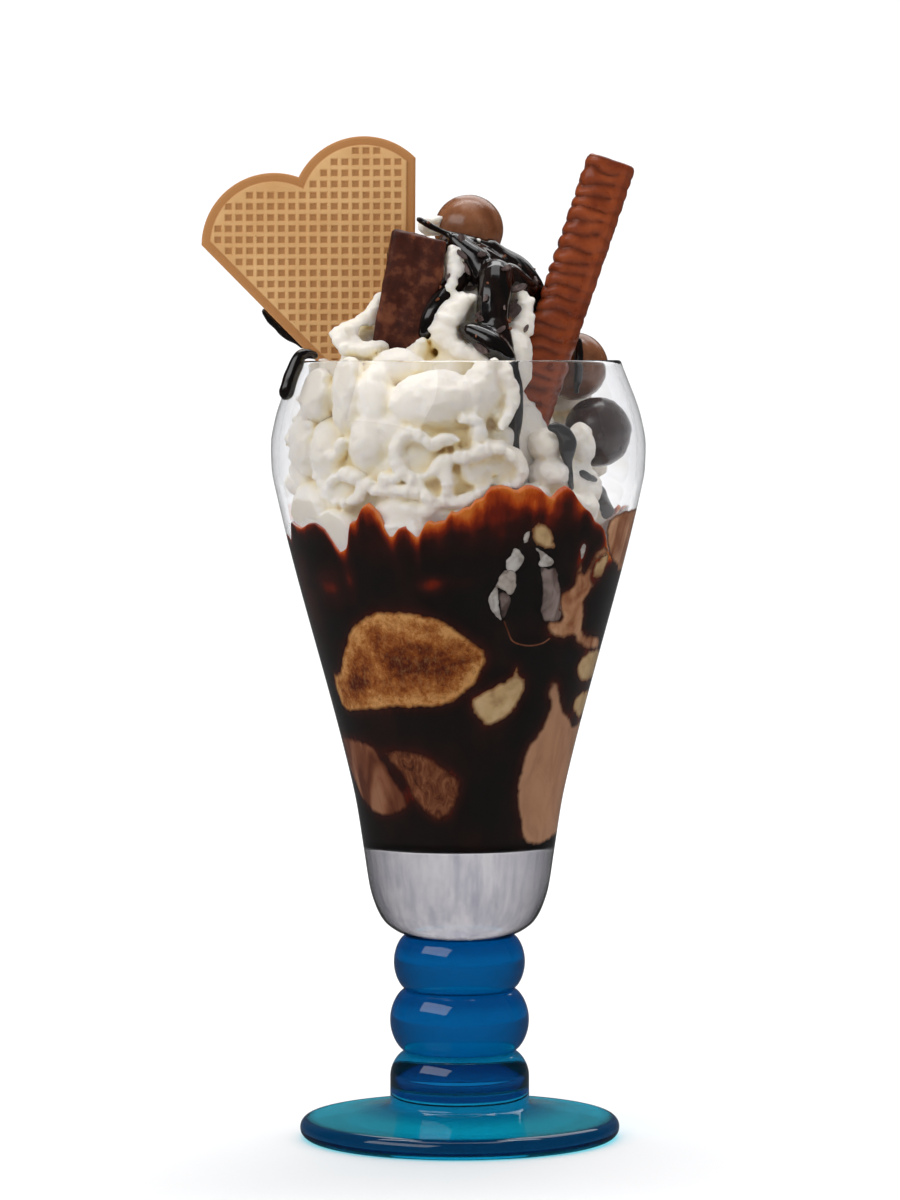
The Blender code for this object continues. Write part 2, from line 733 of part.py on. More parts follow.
def heart_wafer(material):
    """The wafer with level ribs across its front."""
    obj = wafer_body("heart_wafer", 0.0, material)
    inner = heart_outline(RIB_INSET)
    group = bpy.data.collections.new("ribs")
    low = min(point.y for point in inner)
    high = max(point.y for point in inner)
    reach = FIELD_THICKNESS / 2 + RIB_HEIGHT
    for index in range(1, int((high - low) / RIB_PITCH) + 1):
        height = low + index * RIB_PITCH
        for left, right in spans(inner, height):
            if right - left < 2 * RIB_PITCH:
                continue
            tip = Vector(WAFER_TIP)
            corners = [
                tip + Vector((left, -reach, height - RIB_WIDTH / 2)),
                tip + Vector((right, 0.0, height + RIB_WIDTH / 2)),
            ]
            rib = box_between("rib", *corners)
            bpy.context.scene.collection.objects.unlink(rib)
            group.objects.link(rib)
    return shade(join_group(obj, group), False)


def join_group(obj, group):
    """Fuse a collection of closed bodies into an object and remove them."""
    bpy.context.scene.collection.children.link(group)
    modifier = obj.modifiers.new("join", "BOOLEAN")
    modifier.operation = "UNION"
    modifier.solver = "MANIFOLD"
    modifier.operand_type = "COLLECTION"
    modifier.collection = group
    applied(obj)
    for member in list(group.objects):
        bpy.data.objects.remove(member, do_unlink=True)
    bpy.data.collections.remove(group)
    return largest_only(obj)


def bar(name, grown, material=None):
    """The short coated bar with softened edges, leaning to the right."""
    half = [size / 2 + grown for size in BAR_SIZE]
    rings = []
    for height, inset in ((-1, BAR_EDGE), (-1, 0.0), (1, 0.0), (1, BAR_EDGE)):
        wide = half[0] - inset
        deep = half[1] - inset
        rise = height * (half[2] - (BAR_EDGE if inset == 0.0 else 0.0))
        edge = BAR_EDGE
        ring = [(wide - edge, -deep), (wide, edge - deep), (wide, deep - edge), (wide - edge, deep)]
        ring += [(edge - wide, deep), (-wide, deep - edge), (-wide, edge - deep), (edge - wide, -deep)]
        rings.append([Vector((x, y, rise)) for x, y in ring])
    turn = Matrix.Rotation(BAR_LEAN, 3, "Y")
    middle = Vector(BAR_TOP) - turn @ Vector((0, 0, BAR_SIZE[2] / 2))
    placed = [[middle + turn @ point for point in ring] for ring in rings]
    upward = turn @ Vector((0, 0, half[2]))
    return skin(name, middle - upward, placed, middle + upward, material)


def stick(name, grown, material=None):
    """The ribbed stick: a rounded square section with ripples across its way."""
    turn = Matrix.Rotation(STICK_LEAN, 3, "Y")
    top = Vector(STICK_TOP) + turn @ Vector((0, 0, grown))
    length = STICK_LENGTH + 2 * grown
    count = round(STICK_LENGTH / STICK_PITCH) * RINGS_PER_RIPPLE
    rings = []
    for index in range(count + 1):
        end = STICK_END_SHARE if index in (0, count) else 1.0
        ripple = 0.0 if grown or index % RINGS_PER_RIPPLE else -STICK_RIPPLE
        ring = []
        for side in range(STICK_SIDES):
            angle = 2 * math.pi * (side + 0.5) / STICK_SIDES
            wide = math.copysign(abs(math.cos(angle)) ** STICK_SQUARENESS, math.cos(angle))
            deep = math.copysign(abs(math.sin(angle)) ** STICK_SQUARENESS, math.sin(angle))
            shallow = ripple * (1.0 if math.cos(angle) < STICK_CALM_SIDE else STICK_CALM_SHARE)
            x = wide * (STICK_HALF_WIDTH * end + grown + shallow)
            y = deep * (STICK_HALF_DEPTH * end + grown + shallow)
            skew = 0.0 if index in (0, count) else STICK_PITCH * STICK_SKEW * wide
            ring.append(top + turn @ Vector((x, y, skew - length * index / count)))
        rings.append(ring)
    return skin(name, top, rings, top - turn @ Vector((0, 0, length)), material)


def ball(name, centre, grown=0.0, material=None):
    """A coated ball."""
    body = bmesh.new()
    radius = BALL_RADIUS + grown
    bmesh.ops.create_uvsphere(body, u_segments=BALL_SIDES, v_segments=BALL_SIDES // 2, radius=radius)
    bmesh.ops.translate(body, vec=Vector(centre), verts=body.verts)
    return object_from(name, body, material)


def flake(place, grown=0.0):
    """A broken flat shard, pointed at one end."""
    centre, length, width, thickness, turn, tilt = place
    rings = []
    for side in (-1, 1):
        ring = []
        for x, y in FLAKE_OUTLINE:
            depth = side * (thickness / 2 + grown)
            ring.append(Vector((x * (length + grown), y * (width + grown), depth)))
        rings.append(ring)
    spin = Matrix.Translation(centre) @ Matrix.Rotation(math.radians(turn), 4, "Y")
    spin = spin @ Matrix.Rotation(math.radians(90 + tilt), 4, "X")
    rings = [[spin @ point for point in ring] for ring in rings]
    ends = [spin @ Vector((0, 0, side * (thickness / 2 + grown))) for side in (-1, 1)]
    return skin("flake", ends[0], rings, ends[1])


def poured_sauce(name, grown, material=None):
    """The sauce over the heap with its flakes, fused into one body."""
    obj = run_of(name, TOP_RUNS[0], grown, material)
    group = bpy.data.collections.new("runs")
    pieces = [run_of("run", run, grown) for run in TOP_RUNS[1:]]
    pieces += [flake(place, grown) for place in FLAKES]
    for piece in pieces:
        bpy.context.scene.collection.objects.unlink(piece)
        group.objects.link(piece)
    return join_group(obj, group)


def toppings(grown):
    """Grown copies of everything that stands in the cream."""
    made = [wafer_body("cutter", grown), bar("cutter", grown), stick("cutter", grown)]
    made += [ball("cutter", centre, grown) for centre in (BALL_TOP, BALL_UPPER, BALL_LOWER)]
    return made


def loop(centre, half_width, half_height, radius, start, sweep, facing):
    """A piped loop of cream lying in a plane that faces an angle round the heap."""
    points = []
    for step in range(LOOP_STEPS + 1):
        angle = math.radians(start + sweep * step / LOOP_STEPS)
        flat = Vector((half_width * math.cos(angle), 0.0, half_height * math.sin(angle)))
        points.append(Vector(centre) + Matrix.Rotation(facing, 3, "Z") @ flat)
    swells = [math.sin(LOOP_SWELL_TURN * step) for step in range(LOOP_STEPS + 1)]
    radii = [radius * (1.0 + LOOP_SWELL * swell) for swell in swells]
    if sweep >= 360:
        points.pop()
        radii.pop()
    return rope("loop", points, radii, LOOP_SIDES)


def back_loops():
    """Loops for the sides and back, spread by a seeded rule."""
    chance = random.Random(SEED)
    made = []
    for index in range(BACK_LOOP_COUNT):
        share = (index + 0.5) / BACK_LOOP_COUNT
        angle = BACK_LOOP_ANGLES[0] + (BACK_LOOP_ANGLES[1] - BACK_LOOP_ANGLES[0]) * share
        turn = math.radians(angle)
        height = chance.uniform(*BACK_LOOP_HEIGHTS)
        above_rim = max(height - RIM_TOP, 0.0)
        reach = min(inner_radius(height) - BACK_LOOP_WALL, BACK_LOOP_REACH - above_rim)
        reach -= chance.uniform(0.0, BACK_LOOP_SINK)
        centre = (reach * math.sin(turn), -reach * math.cos(turn), height)
        size = chance.uniform(*BACK_LOOP_SIZES)
        start = chance.uniform(*BACK_LOOP_STARTS)
        half_height = size * BACK_LOOP_FLATNESS
        made.append(loop(centre, size, half_height, BACK_LOOP_RADIUS, start, BACK_LOOP_SWEEP, turn))
    return made


def fused_by_voxels(name, pieces, material):
    """Melt overlapping bodies into one soft skin and thin it to few faces."""
    joined = bmesh.new()
    for piece in pieces:
        joined.from_mesh(piece.data)
        bpy.data.objects.remove(piece, do_unlink=True)
    obj = object_from(name, joined, material)
    remesh = obj.modifiers.new("melt", "REMESH")
    remesh.mode = "VOXEL"
    remesh.voxel_size = CREAM_VOXEL
    fewer = obj.modifiers.new("thin", "DECIMATE")
    fewer.ratio = CREAM_KEEP
    return largest_only(applied(obj))


def whipped_cream(material):
    """The piped heap, cut round all that stands in it or lies on it."""
    pieces = [ellipsoid("body", *shape) for shape in CREAM_BODIES]
    for centre, wide, high, radius, start, sweep in CREAM_LOOPS:
        facing = math.atan2(centre[0], -centre[1])
        pieces.append(loop(centre, wide, high, radius, start, sweep, facing))
    pieces += back_loops()
    obj = fused_by_voxels("whipped_cream", pieces, material)
    cut(obj, cream_room(), "INTERSECT")
    cutters = toppings(GAP) + [poured_sauce("cutter", GAP)]
    cutters += [ellipsoid("cutter", *SCOOP_UPPER, grown=GAP), run_of("cutter", RIGHT_DRIP, GAP)]
    for shape in LUMPS:
        cutters.append(ellipsoid("cutter", *shape, grown=GAP))
    for cutter in cutters:
        cut(obj, cutter)
    return shade(largest_only(obj), True)


def cream_lumps(material):
    """Loose lumps of cream at the right, cut round their neighbours."""
    obj = ellipsoid("cream_lumps", *LUMPS[0], material=material)
    group = bpy.data.collections.new("lumps")
    for shape in LUMPS[1:]:
        piece = ellipsoid("lump", *shape)
        bpy.context.scene.collection.objects.unlink(piece)
        group.objects.link(piece)
    obj = cut(join_group(obj, group), cream_room(), "INTERSECT")
    cutters = toppings(GAP) + [poured_sauce("cutter", GAP)]
    cutters += [ellipsoid("cutter", *SCOOP_UPPER, grown=GAP), run_of("cutter", RIGHT_DRIP, GAP)]
    for cutter in cutters:
        cut(obj, cutter)
    return shade(largest_only(obj), True)


def main():
    """Build every piece."""
    clear_scene()
    clear = make_material("clear_glass")
    blue = make_material("blue_glass")
    sauce = make_material("chocolate_sauce")
    cream = make_material("cream")
    pale_ice = make_material("caramel_ice_cream")
    dark_ice = make_material("chocolate_ice_cream")
    milk = make_material("milk_chocolate")
    dark = make_material("dark_chocolate")
    wafer = make_material("wafer")

    glass_bowl(clear)
    stem_foot(blue)
    sauce_fill(sauce)
    scoop("scoop_front", SCOOP_FRONT, pale_ice, SCOOP_SMALL)
    scoop("scoop_low", SCOOP_LOW, dark_ice, SCOOP_FRONT)
    scoop("scoop_right", SCOOP_RIGHT, dark_ice, SCOOP_LOW, SCOOP_FRONT, SCOOP_SMALL)
    scoop("scoop_upper", SCOOP_UPPER, dark_ice, SCOOP_FRONT)
    scoop("scoop_back", SCOOP_BACK, pale_ice, SCOOP_FRONT, SCOOP_LOW, SCOOP_RIGHT, SCOOP_UPPER)
    scoop("scoop_small", SCOOP_SMALL, cream)
    window = (WINDOW_CENTRE, WINDOW_RADII)
    scoop("window_cream", window, cream, SCOOP_FRONT, SCOOP_UPPER, SCOOP_SMALL, SCOOP_RIGHT)

    heart_wafer(wafer)
    shade(largest_only(bar("dark_bar", 0.0, dark)), False)
    shade(largest_only(stick("ribbed_stick", 0.0, milk)), True)
    shade(ball("ball_top", BALL_TOP, 0.0, milk), True)
    shade(ball("ball_upper", BALL_UPPER, 0.0, milk), True)
    shade(ball("ball_lower", BALL_LOWER, 0.0, dark), True)

    poured = poured_sauce("poured_sauce", 0.0, sauce)
    for cutter in toppings(GAP):
        cut(poured, cutter)
    shade(largest_only(poured), True)
    drip = run_of("right_drip", RIGHT_DRIP, 0.0, sauce)
    for cutter in toppings(GAP):
        cut(drip, cutter)
    shade(largest_only(drip), True)
    shade(run_of("rim_drip", rim_run(), 0.0, sauce), True)
    whipped_cream(cream)
    cream_lumps(cream)


main()
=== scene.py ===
"""Looks for an ice cream sundae in a footed glass, built over its packed solids."""

import collections
import math
import random

import bmesh
import bpy
import numpy as np
from bpy.props import FloatProperty, FloatVectorProperty, PointerProperty
from mathutils import Matrix, Quaternion, Vector, noise
from mathutils.bvhtree import BVHTree
from mathutils.geometry import delaunay_2d_cdt


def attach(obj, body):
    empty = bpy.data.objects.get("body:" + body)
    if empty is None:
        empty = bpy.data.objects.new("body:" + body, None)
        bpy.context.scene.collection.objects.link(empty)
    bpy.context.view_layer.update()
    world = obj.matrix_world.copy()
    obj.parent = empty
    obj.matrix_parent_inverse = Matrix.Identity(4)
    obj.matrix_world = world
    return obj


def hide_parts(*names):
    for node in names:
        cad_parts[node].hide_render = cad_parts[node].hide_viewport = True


bl_info = {
    "name": "Ice Cream Sundae",
    "version": (1, 0, 0),
    "blender": (4, 5, 0),
    "location": "View3D > Sidebar > Sundae",
    "description": "Builds the glass, the filling and the toppings of a sundae",
    "category": "Object",
}

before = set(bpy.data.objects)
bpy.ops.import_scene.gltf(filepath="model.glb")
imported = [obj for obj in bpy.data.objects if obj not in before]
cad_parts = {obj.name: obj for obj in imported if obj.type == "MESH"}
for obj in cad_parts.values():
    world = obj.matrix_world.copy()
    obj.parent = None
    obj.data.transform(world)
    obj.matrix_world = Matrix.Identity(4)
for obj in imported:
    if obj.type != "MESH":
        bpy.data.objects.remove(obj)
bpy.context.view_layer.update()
MOST_TRIANGLES = 190000
FLAKES_PER_AREA = 12000
CRUMBS_PER_AREA = 12000
ROOT = "root"
SEED = 11

# Clear bowl outline: (height, outer radius), as the solids have it
BOWL_OUTLINE = (
    (0.0519, 0.0134),
    (0.0530, 0.0160),
    (0.0555, 0.0192),
    (0.0590, 0.0212),
    (0.0640, 0.0228),
    (0.0735, 0.0243),
    (0.0863, 0.0263),
    (0.0966, 0.0286),
    (0.1656, 0.0465),
    (0.1710, 0.0475),
    (0.1770, 0.0477),
    (0.1834, 0.0467),
    (0.1980, 0.0415),
)
RIM_TOP = 0.1986
FLOOR_CORNER = 0.0030
GLASS_SIDES = 192
TOUCH = 0.00006  # how far the filling reaches into the glass
PATCH_TOUCH = 0.00013

STEM_TOP = 0.0519
GROOVES = (0.0381, 0.0221)
GROOVE_RADIUS = 0.0136
STEM_NECK = 0.0134
RING_RADII = (0.0168, 0.0178, 0.0178)
RING_FULLNESS = 0.55
RING_STEPS = 26
COLLAR_BASE = 0.0090
FOOT_RADIUS = 0.0409
FOOT_UNDERSIDE_RADIUS = 0.0385
FOOT_EDGE = 0.0052
FOOT_TOP = 0.0078

# Upper edge of the sauce on the wall: (degrees from the front toward +X, height)
CROWN_FRONT = (
    (-84, 0.1560), (-78, 0.1540), (-72.5, 0.1591), (-65, 0.1572), (-60, 0.1588), (-55, 0.1587), (-50.5, 0.1573),
    (-45, 0.1518), (-41, 0.1530), (-38.5, 0.1590), (-35.7, 0.1595), (-33, 0.1630), (-30.2, 0.1640), (-27, 0.1613),
    (-24.3, 0.1561), (-23, 0.1553), (-20.5, 0.1578), (-18.3, 0.1581), (-16, 0.1566), (-13.7, 0.1551),
    (-11.5, 0.1585), (-9.6, 0.1596), (-8, 0.1588), (-6, 0.1594), (-4.4, 0.1592), (-2.6, 0.1618), (-0.6, 0.1612),
    (2, 0.1630), (3.6, 0.1630), (5.5, 0.1650), (7.5, 0.1648), (9.8, 0.1677), (13.4, 0.1682), (16, 0.1676),
    (18.7, 0.1664), (21, 0.1676), (23.3, 0.1678), (27, 0.1672), (31.2, 0.1650), (33.5, 0.1668), (36.2, 0.1677),
    (39, 0.1668), (41.3, 0.1650), (45.6, 0.1619), (48, 0.1612), (51.2, 0.1593), (54, 0.1588), (57.2, 0.1569),
    (61, 0.1530), (64.2, 0.1505), (68, 0.1500),
)
CROWN_BACK = (68, 276)
CROWN_BACK_STEP = 5.2
FILL_LEVEL = 0.1470
LIP_THICKNESS = 0.0022
FILL_SIDES = 320
FILL_ROWS = 84
# Red light in the sauce: (degrees, height, width in degrees, height spread, strength)
SAUCE_GLOWS = (
    (-54, 0.1425, 8, 0.0044, 0.40),
    (-76, 0.1400, 9, 0.0120, 0.30),
    (-43, 0.1440, 3, 0.0040, 0.30),
    (-10, 0.1432, 4, 0.0018, 0.62),
    (-4, 0.1440, 8, 0.0014, 0.22),
    (8, 0.1590, 12, 0.0055, 0.30),
    (30, 0.1610, 9, 0.0050, 0.34),
    (-28, 0.1545, 12, 0.0045, 0.16),
)

# What shows at the wall: (name, finish, solid it stands for, outline as degrees and millimetres of height)
PATCHES = (
    ("frosty_scoop", "caramel", "scoop_front",
     ((-61.4, 120.8), (-50.5, 129), (-42.3, 133.8), (-33.2, 136.1), (-23.7, 136.4), (-14.3, 135.9), (-5.3, 133.8),
      (3.9, 129.8), (9.7, 126.9), (11, 123.9), (7.7, 119.6), (2.7, 116.3), (-3.4, 113.8), (-12.7, 112.5),
      (-29.4, 112.3), (-48.1, 111), (-64.2, 111), (-69.7, 115), (-68.4, 119.3))),
    ("tan_scoop", "tan", "scoop_small",
     ((24.4, 122.6), (23.3, 119.9), (20.2, 119), (14.8, 117.5), (9.5, 115.6), (5.9, 114.1), (6.9, 111), (10.4, 109.2),
      (12.5, 107.8), (18, 108.4), (24.7, 110.8), (27.3, 113.3), (29.7, 116.8), (28.9, 119.3), (26.1, 120.4))),
    ("low_scoop_left", "smooth", "scoop_low",
     ((-84, 103), (-67.2, 103.4), (-51.3, 102.1), (-43.4, 98.1), (-36.4, 92.3), (-31.1, 88.2), (-35.5, 85.5),
      (-51.2, 84.1), (-69, 87.5), (-78, 92.8), (-86, 98))),
    ("low_scoop_right", "streaky", None,
     ((-40.8, 100.7), (-31.1, 101), (-19.7, 100.6), (-12.9, 98.6), (-4.2, 95.6), (0.3, 93.1), (-2.3, 87.6),
      (-9.8, 83.9), (-17.8, 84.8), (-26.4, 89.1), (-31.3, 94.1), (-37.5, 98.2))),
    ("right_scoop", "chocolate", "scoop_right",
     ((45, 118.3), (48.8, 117.6), (51.5, 115), (53.6, 113.1), (57.6, 110.4), (63, 109.2), (72, 106.5), (84, 107.5),
      (100, 110.5), (118, 106), (126, 96), (120, 86), (104, 79.5), (80, 78), (66, 76.8), (51.4, 76.4), (42.8, 78.2),
      (37.6, 84.2), (34, 90.7), (34.6, 97), (37.2, 102.1), (41.9, 105), (44.7, 107.8), (46.7, 112), (43.5, 115.9))),
    ("upper_swirl", "swirl", "scoop_upper",
     ((46.9, 148.7), (46.4, 144.7), (45.2, 142.2), (40.7, 140.3), (40.9, 136.7), (43.5, 134.2), (36.5, 133.3),
      (38.3, 130.8), (44.8, 129.6), (50.7, 130.2), (56.3, 128), (64.6, 126.4), (78, 126), (76, 128.6), (66, 129.7),
      (61.9, 129.7), (57.2, 131.4), (55.4, 135.3), (53.7, 138.9), (57.8, 142.4), (54.9, 144.4), (55.2, 148.5),
      (61.5, 149.8), (60.7, 152.1), (55.1, 151), (52.6, 147.5), (50.1, 145.3))),
    ("upper_scoop", "swirl", None,
     ((58.8, 157.9), (65.1, 160.3), (82.7, 161.4), (100, 160.5), (112, 156), (108, 150), (92, 147), (80, 145.5),
      (74.2, 147.4), (67.5, 148.6), (61.3, 152.3))),
    ("swirl_spot", "tan", None, ((61, 150.6), (56.2, 147.9), (55.8, 145.2), (60.7, 144.3), (63.5, 147.2), (63.6, 149.3))),
    ("side_spot", "tan", None,
     ((73.1, 125.7), (84, 125.6), (90, 124), (91, 121.5), (86, 119), (76.2, 117.8), (68, 118.2), (62.8, 119.6),
      (60.7, 122.5), (65.2, 124.8))),
    ("lower_side_spot", "tan", None,
     ((75.4, 115.1), (86, 114.9), (92, 112.5), (90, 109.5), (80, 108.4), (71.2, 109.3), (65.4, 111.7), (67.5, 114.1))),
    ("back_scoop", "caramel", "scoop_back",
     ((140, 122), (150, 132), (166, 137), (186, 136), (202, 130), (212, 121), (206, 112), (190, 106), (168, 105),
      (150, 110))),
    ("back_spot", "chocolate", None, ((214, 96), (226, 101), (240, 99), (246, 92), (236, 87), (220, 89))),
    ("left_back_spot", "tan", None, ((236, 139), (246, 143), (256, 140), (258, 134), (248, 131), (238, 133))),
    ("left_spot", "smooth", None, ((252, 114), (262, 117), (272, 113), (268, 107), (256, 108))),
    ("deep_back_spot", "streaky", None, ((158, 92), (170, 97), (186, 95), (194, 89), (184, 83), (166, 84))),
    # In the window: white cream, and the same cream in painted shade, grey and pale grey.
    ("window_top", "tan", "window_cream",
     ((26.4, 158.4), (24.8, 156.6), (26, 154.1), (29, 152.8), (33.6, 152.2), (33.5, 154.5), (29.9, 157.6))),
    ("window_right_white", "white", None,
     ((27, 152.4), (29.6, 151.5), (33.4, 149.9), (34.6, 148.4), (31.5, 147.5), (28.9, 148.2), (29, 150.2))),
    ("window_left_white", "white", None,
     ((18.2, 151.1), (16.6, 149.1), (17.0, 147.1), (19.2, 146.1), (21.6, 147.8), (22.9, 149.9), (21.3, 151.6),
      (19.3, 152.3))),
    ("window_left_grey", "pale_grey", None,
     ((16, 146.9), (20.4, 146), (20.6, 142.1), (18.6, 140.9), (14.8, 142.5), (13.4, 143))),
    ("window_low_white", "white", None,
     ((13.3, 142.8), (11.5, 141), (10.9, 139), (12.2, 136.9), (16.2, 134.5), (14.8, 138.4), (14.4, 141.6))),
    ("window_low_grey", "grey", None,
     ((15, 141.4), (18.8, 140.4), (18.9, 137.6), (16.8, 134.8), (15.4, 138.2))),
    ("window_crumb", "white", None, ((21.9, 155.1), (22.4, 153.9), (23.7, 154.1), (23.7, 156.6), (23, 156.6))),
    ("window_right_grey", "grey", None,
     ((29.7, 147.3), (33.1, 147), (36.1, 147.2), (38.9, 142.8), (40.7, 140), (42.4, 134.4), (35.8, 133.9), (32.8, 135.9),
      (31.9, 141.5))),
    ("side_window", "white", None, ((46.8, 152.9), (46.1, 151.5), (47.3, 149.4), (48.3, 150.6), (48.2, 152.4))),
)
WINDOW_LINE = ((17.5, 134.2), (19.1, 132.1), (21.6, 129.3), (25.9, 128.2), (30.6, 127.9), (35.5, 128.4), (38.7, 129.5))

# Cream in millimetres: rounded bodies (centre, radii)
CREAM_BODIES = (
    ((-5.5, -0.5, 172), (31.5, 38.5, 31)),
    ((0, 0, 200), (20.5, 18, 23)),
    ((2, 4, 218), (11, 10, 12)),
    ((-5.2, -33.4, 188.2), (12.4, 8.2, 7.5)),
    ((-34.0, -18.5, 189.5), (5.0, 7.0, 6.8)),
    ((-26.6, -25, 188.6), (4.4, 7.5, 10.6)),
    ((-20.0, -29.5, 188.2), (4.8, 7.0, 9.6)),
    ((-21.5, -31.0, 178.5), (5.2, 6.0, 8.0)),
    ((-37.0, -15.0, 177), (4.8, 7.5, 7.5)),
    ((-8, -32.5, 174), (11, 6.5, 8)),
    ((6, -32.5, 172), (11, 6.5, 7)),
    ((-22, -23, 166), (12, 7.5, 9)),
    ((-8, -33.5, 161), (14, 6, 6)),
    ((9, -31, 160.5), (12, 6.5, 5.5)),
    ((-34.5, 0, 176), (6.5, 15, 16)),
    ((-30, -21, 175), (6.5, 7, 9)),
    ((-14, -31, 180), (9, 6.5, 8)),
    ((-34, -15, 162), (6.5, 11, 7)),
    ((-27.5, -25, 155.5), (8.5, 8.5, 7)),
    ((-35, -12, 155), (6.5, 12, 7)),
    ((-14, -36, 154), (10, 5.5, 6)),
    ((5.5, -33.5, 190), (5.2, 6.5, 7.5)),
    ((-15, -24, 196), (8, 6, 5.5)),
    ((0, -20, 195), (9, 6, 6)),
    ((14, -20, 198), (5, 6, 8)),
)
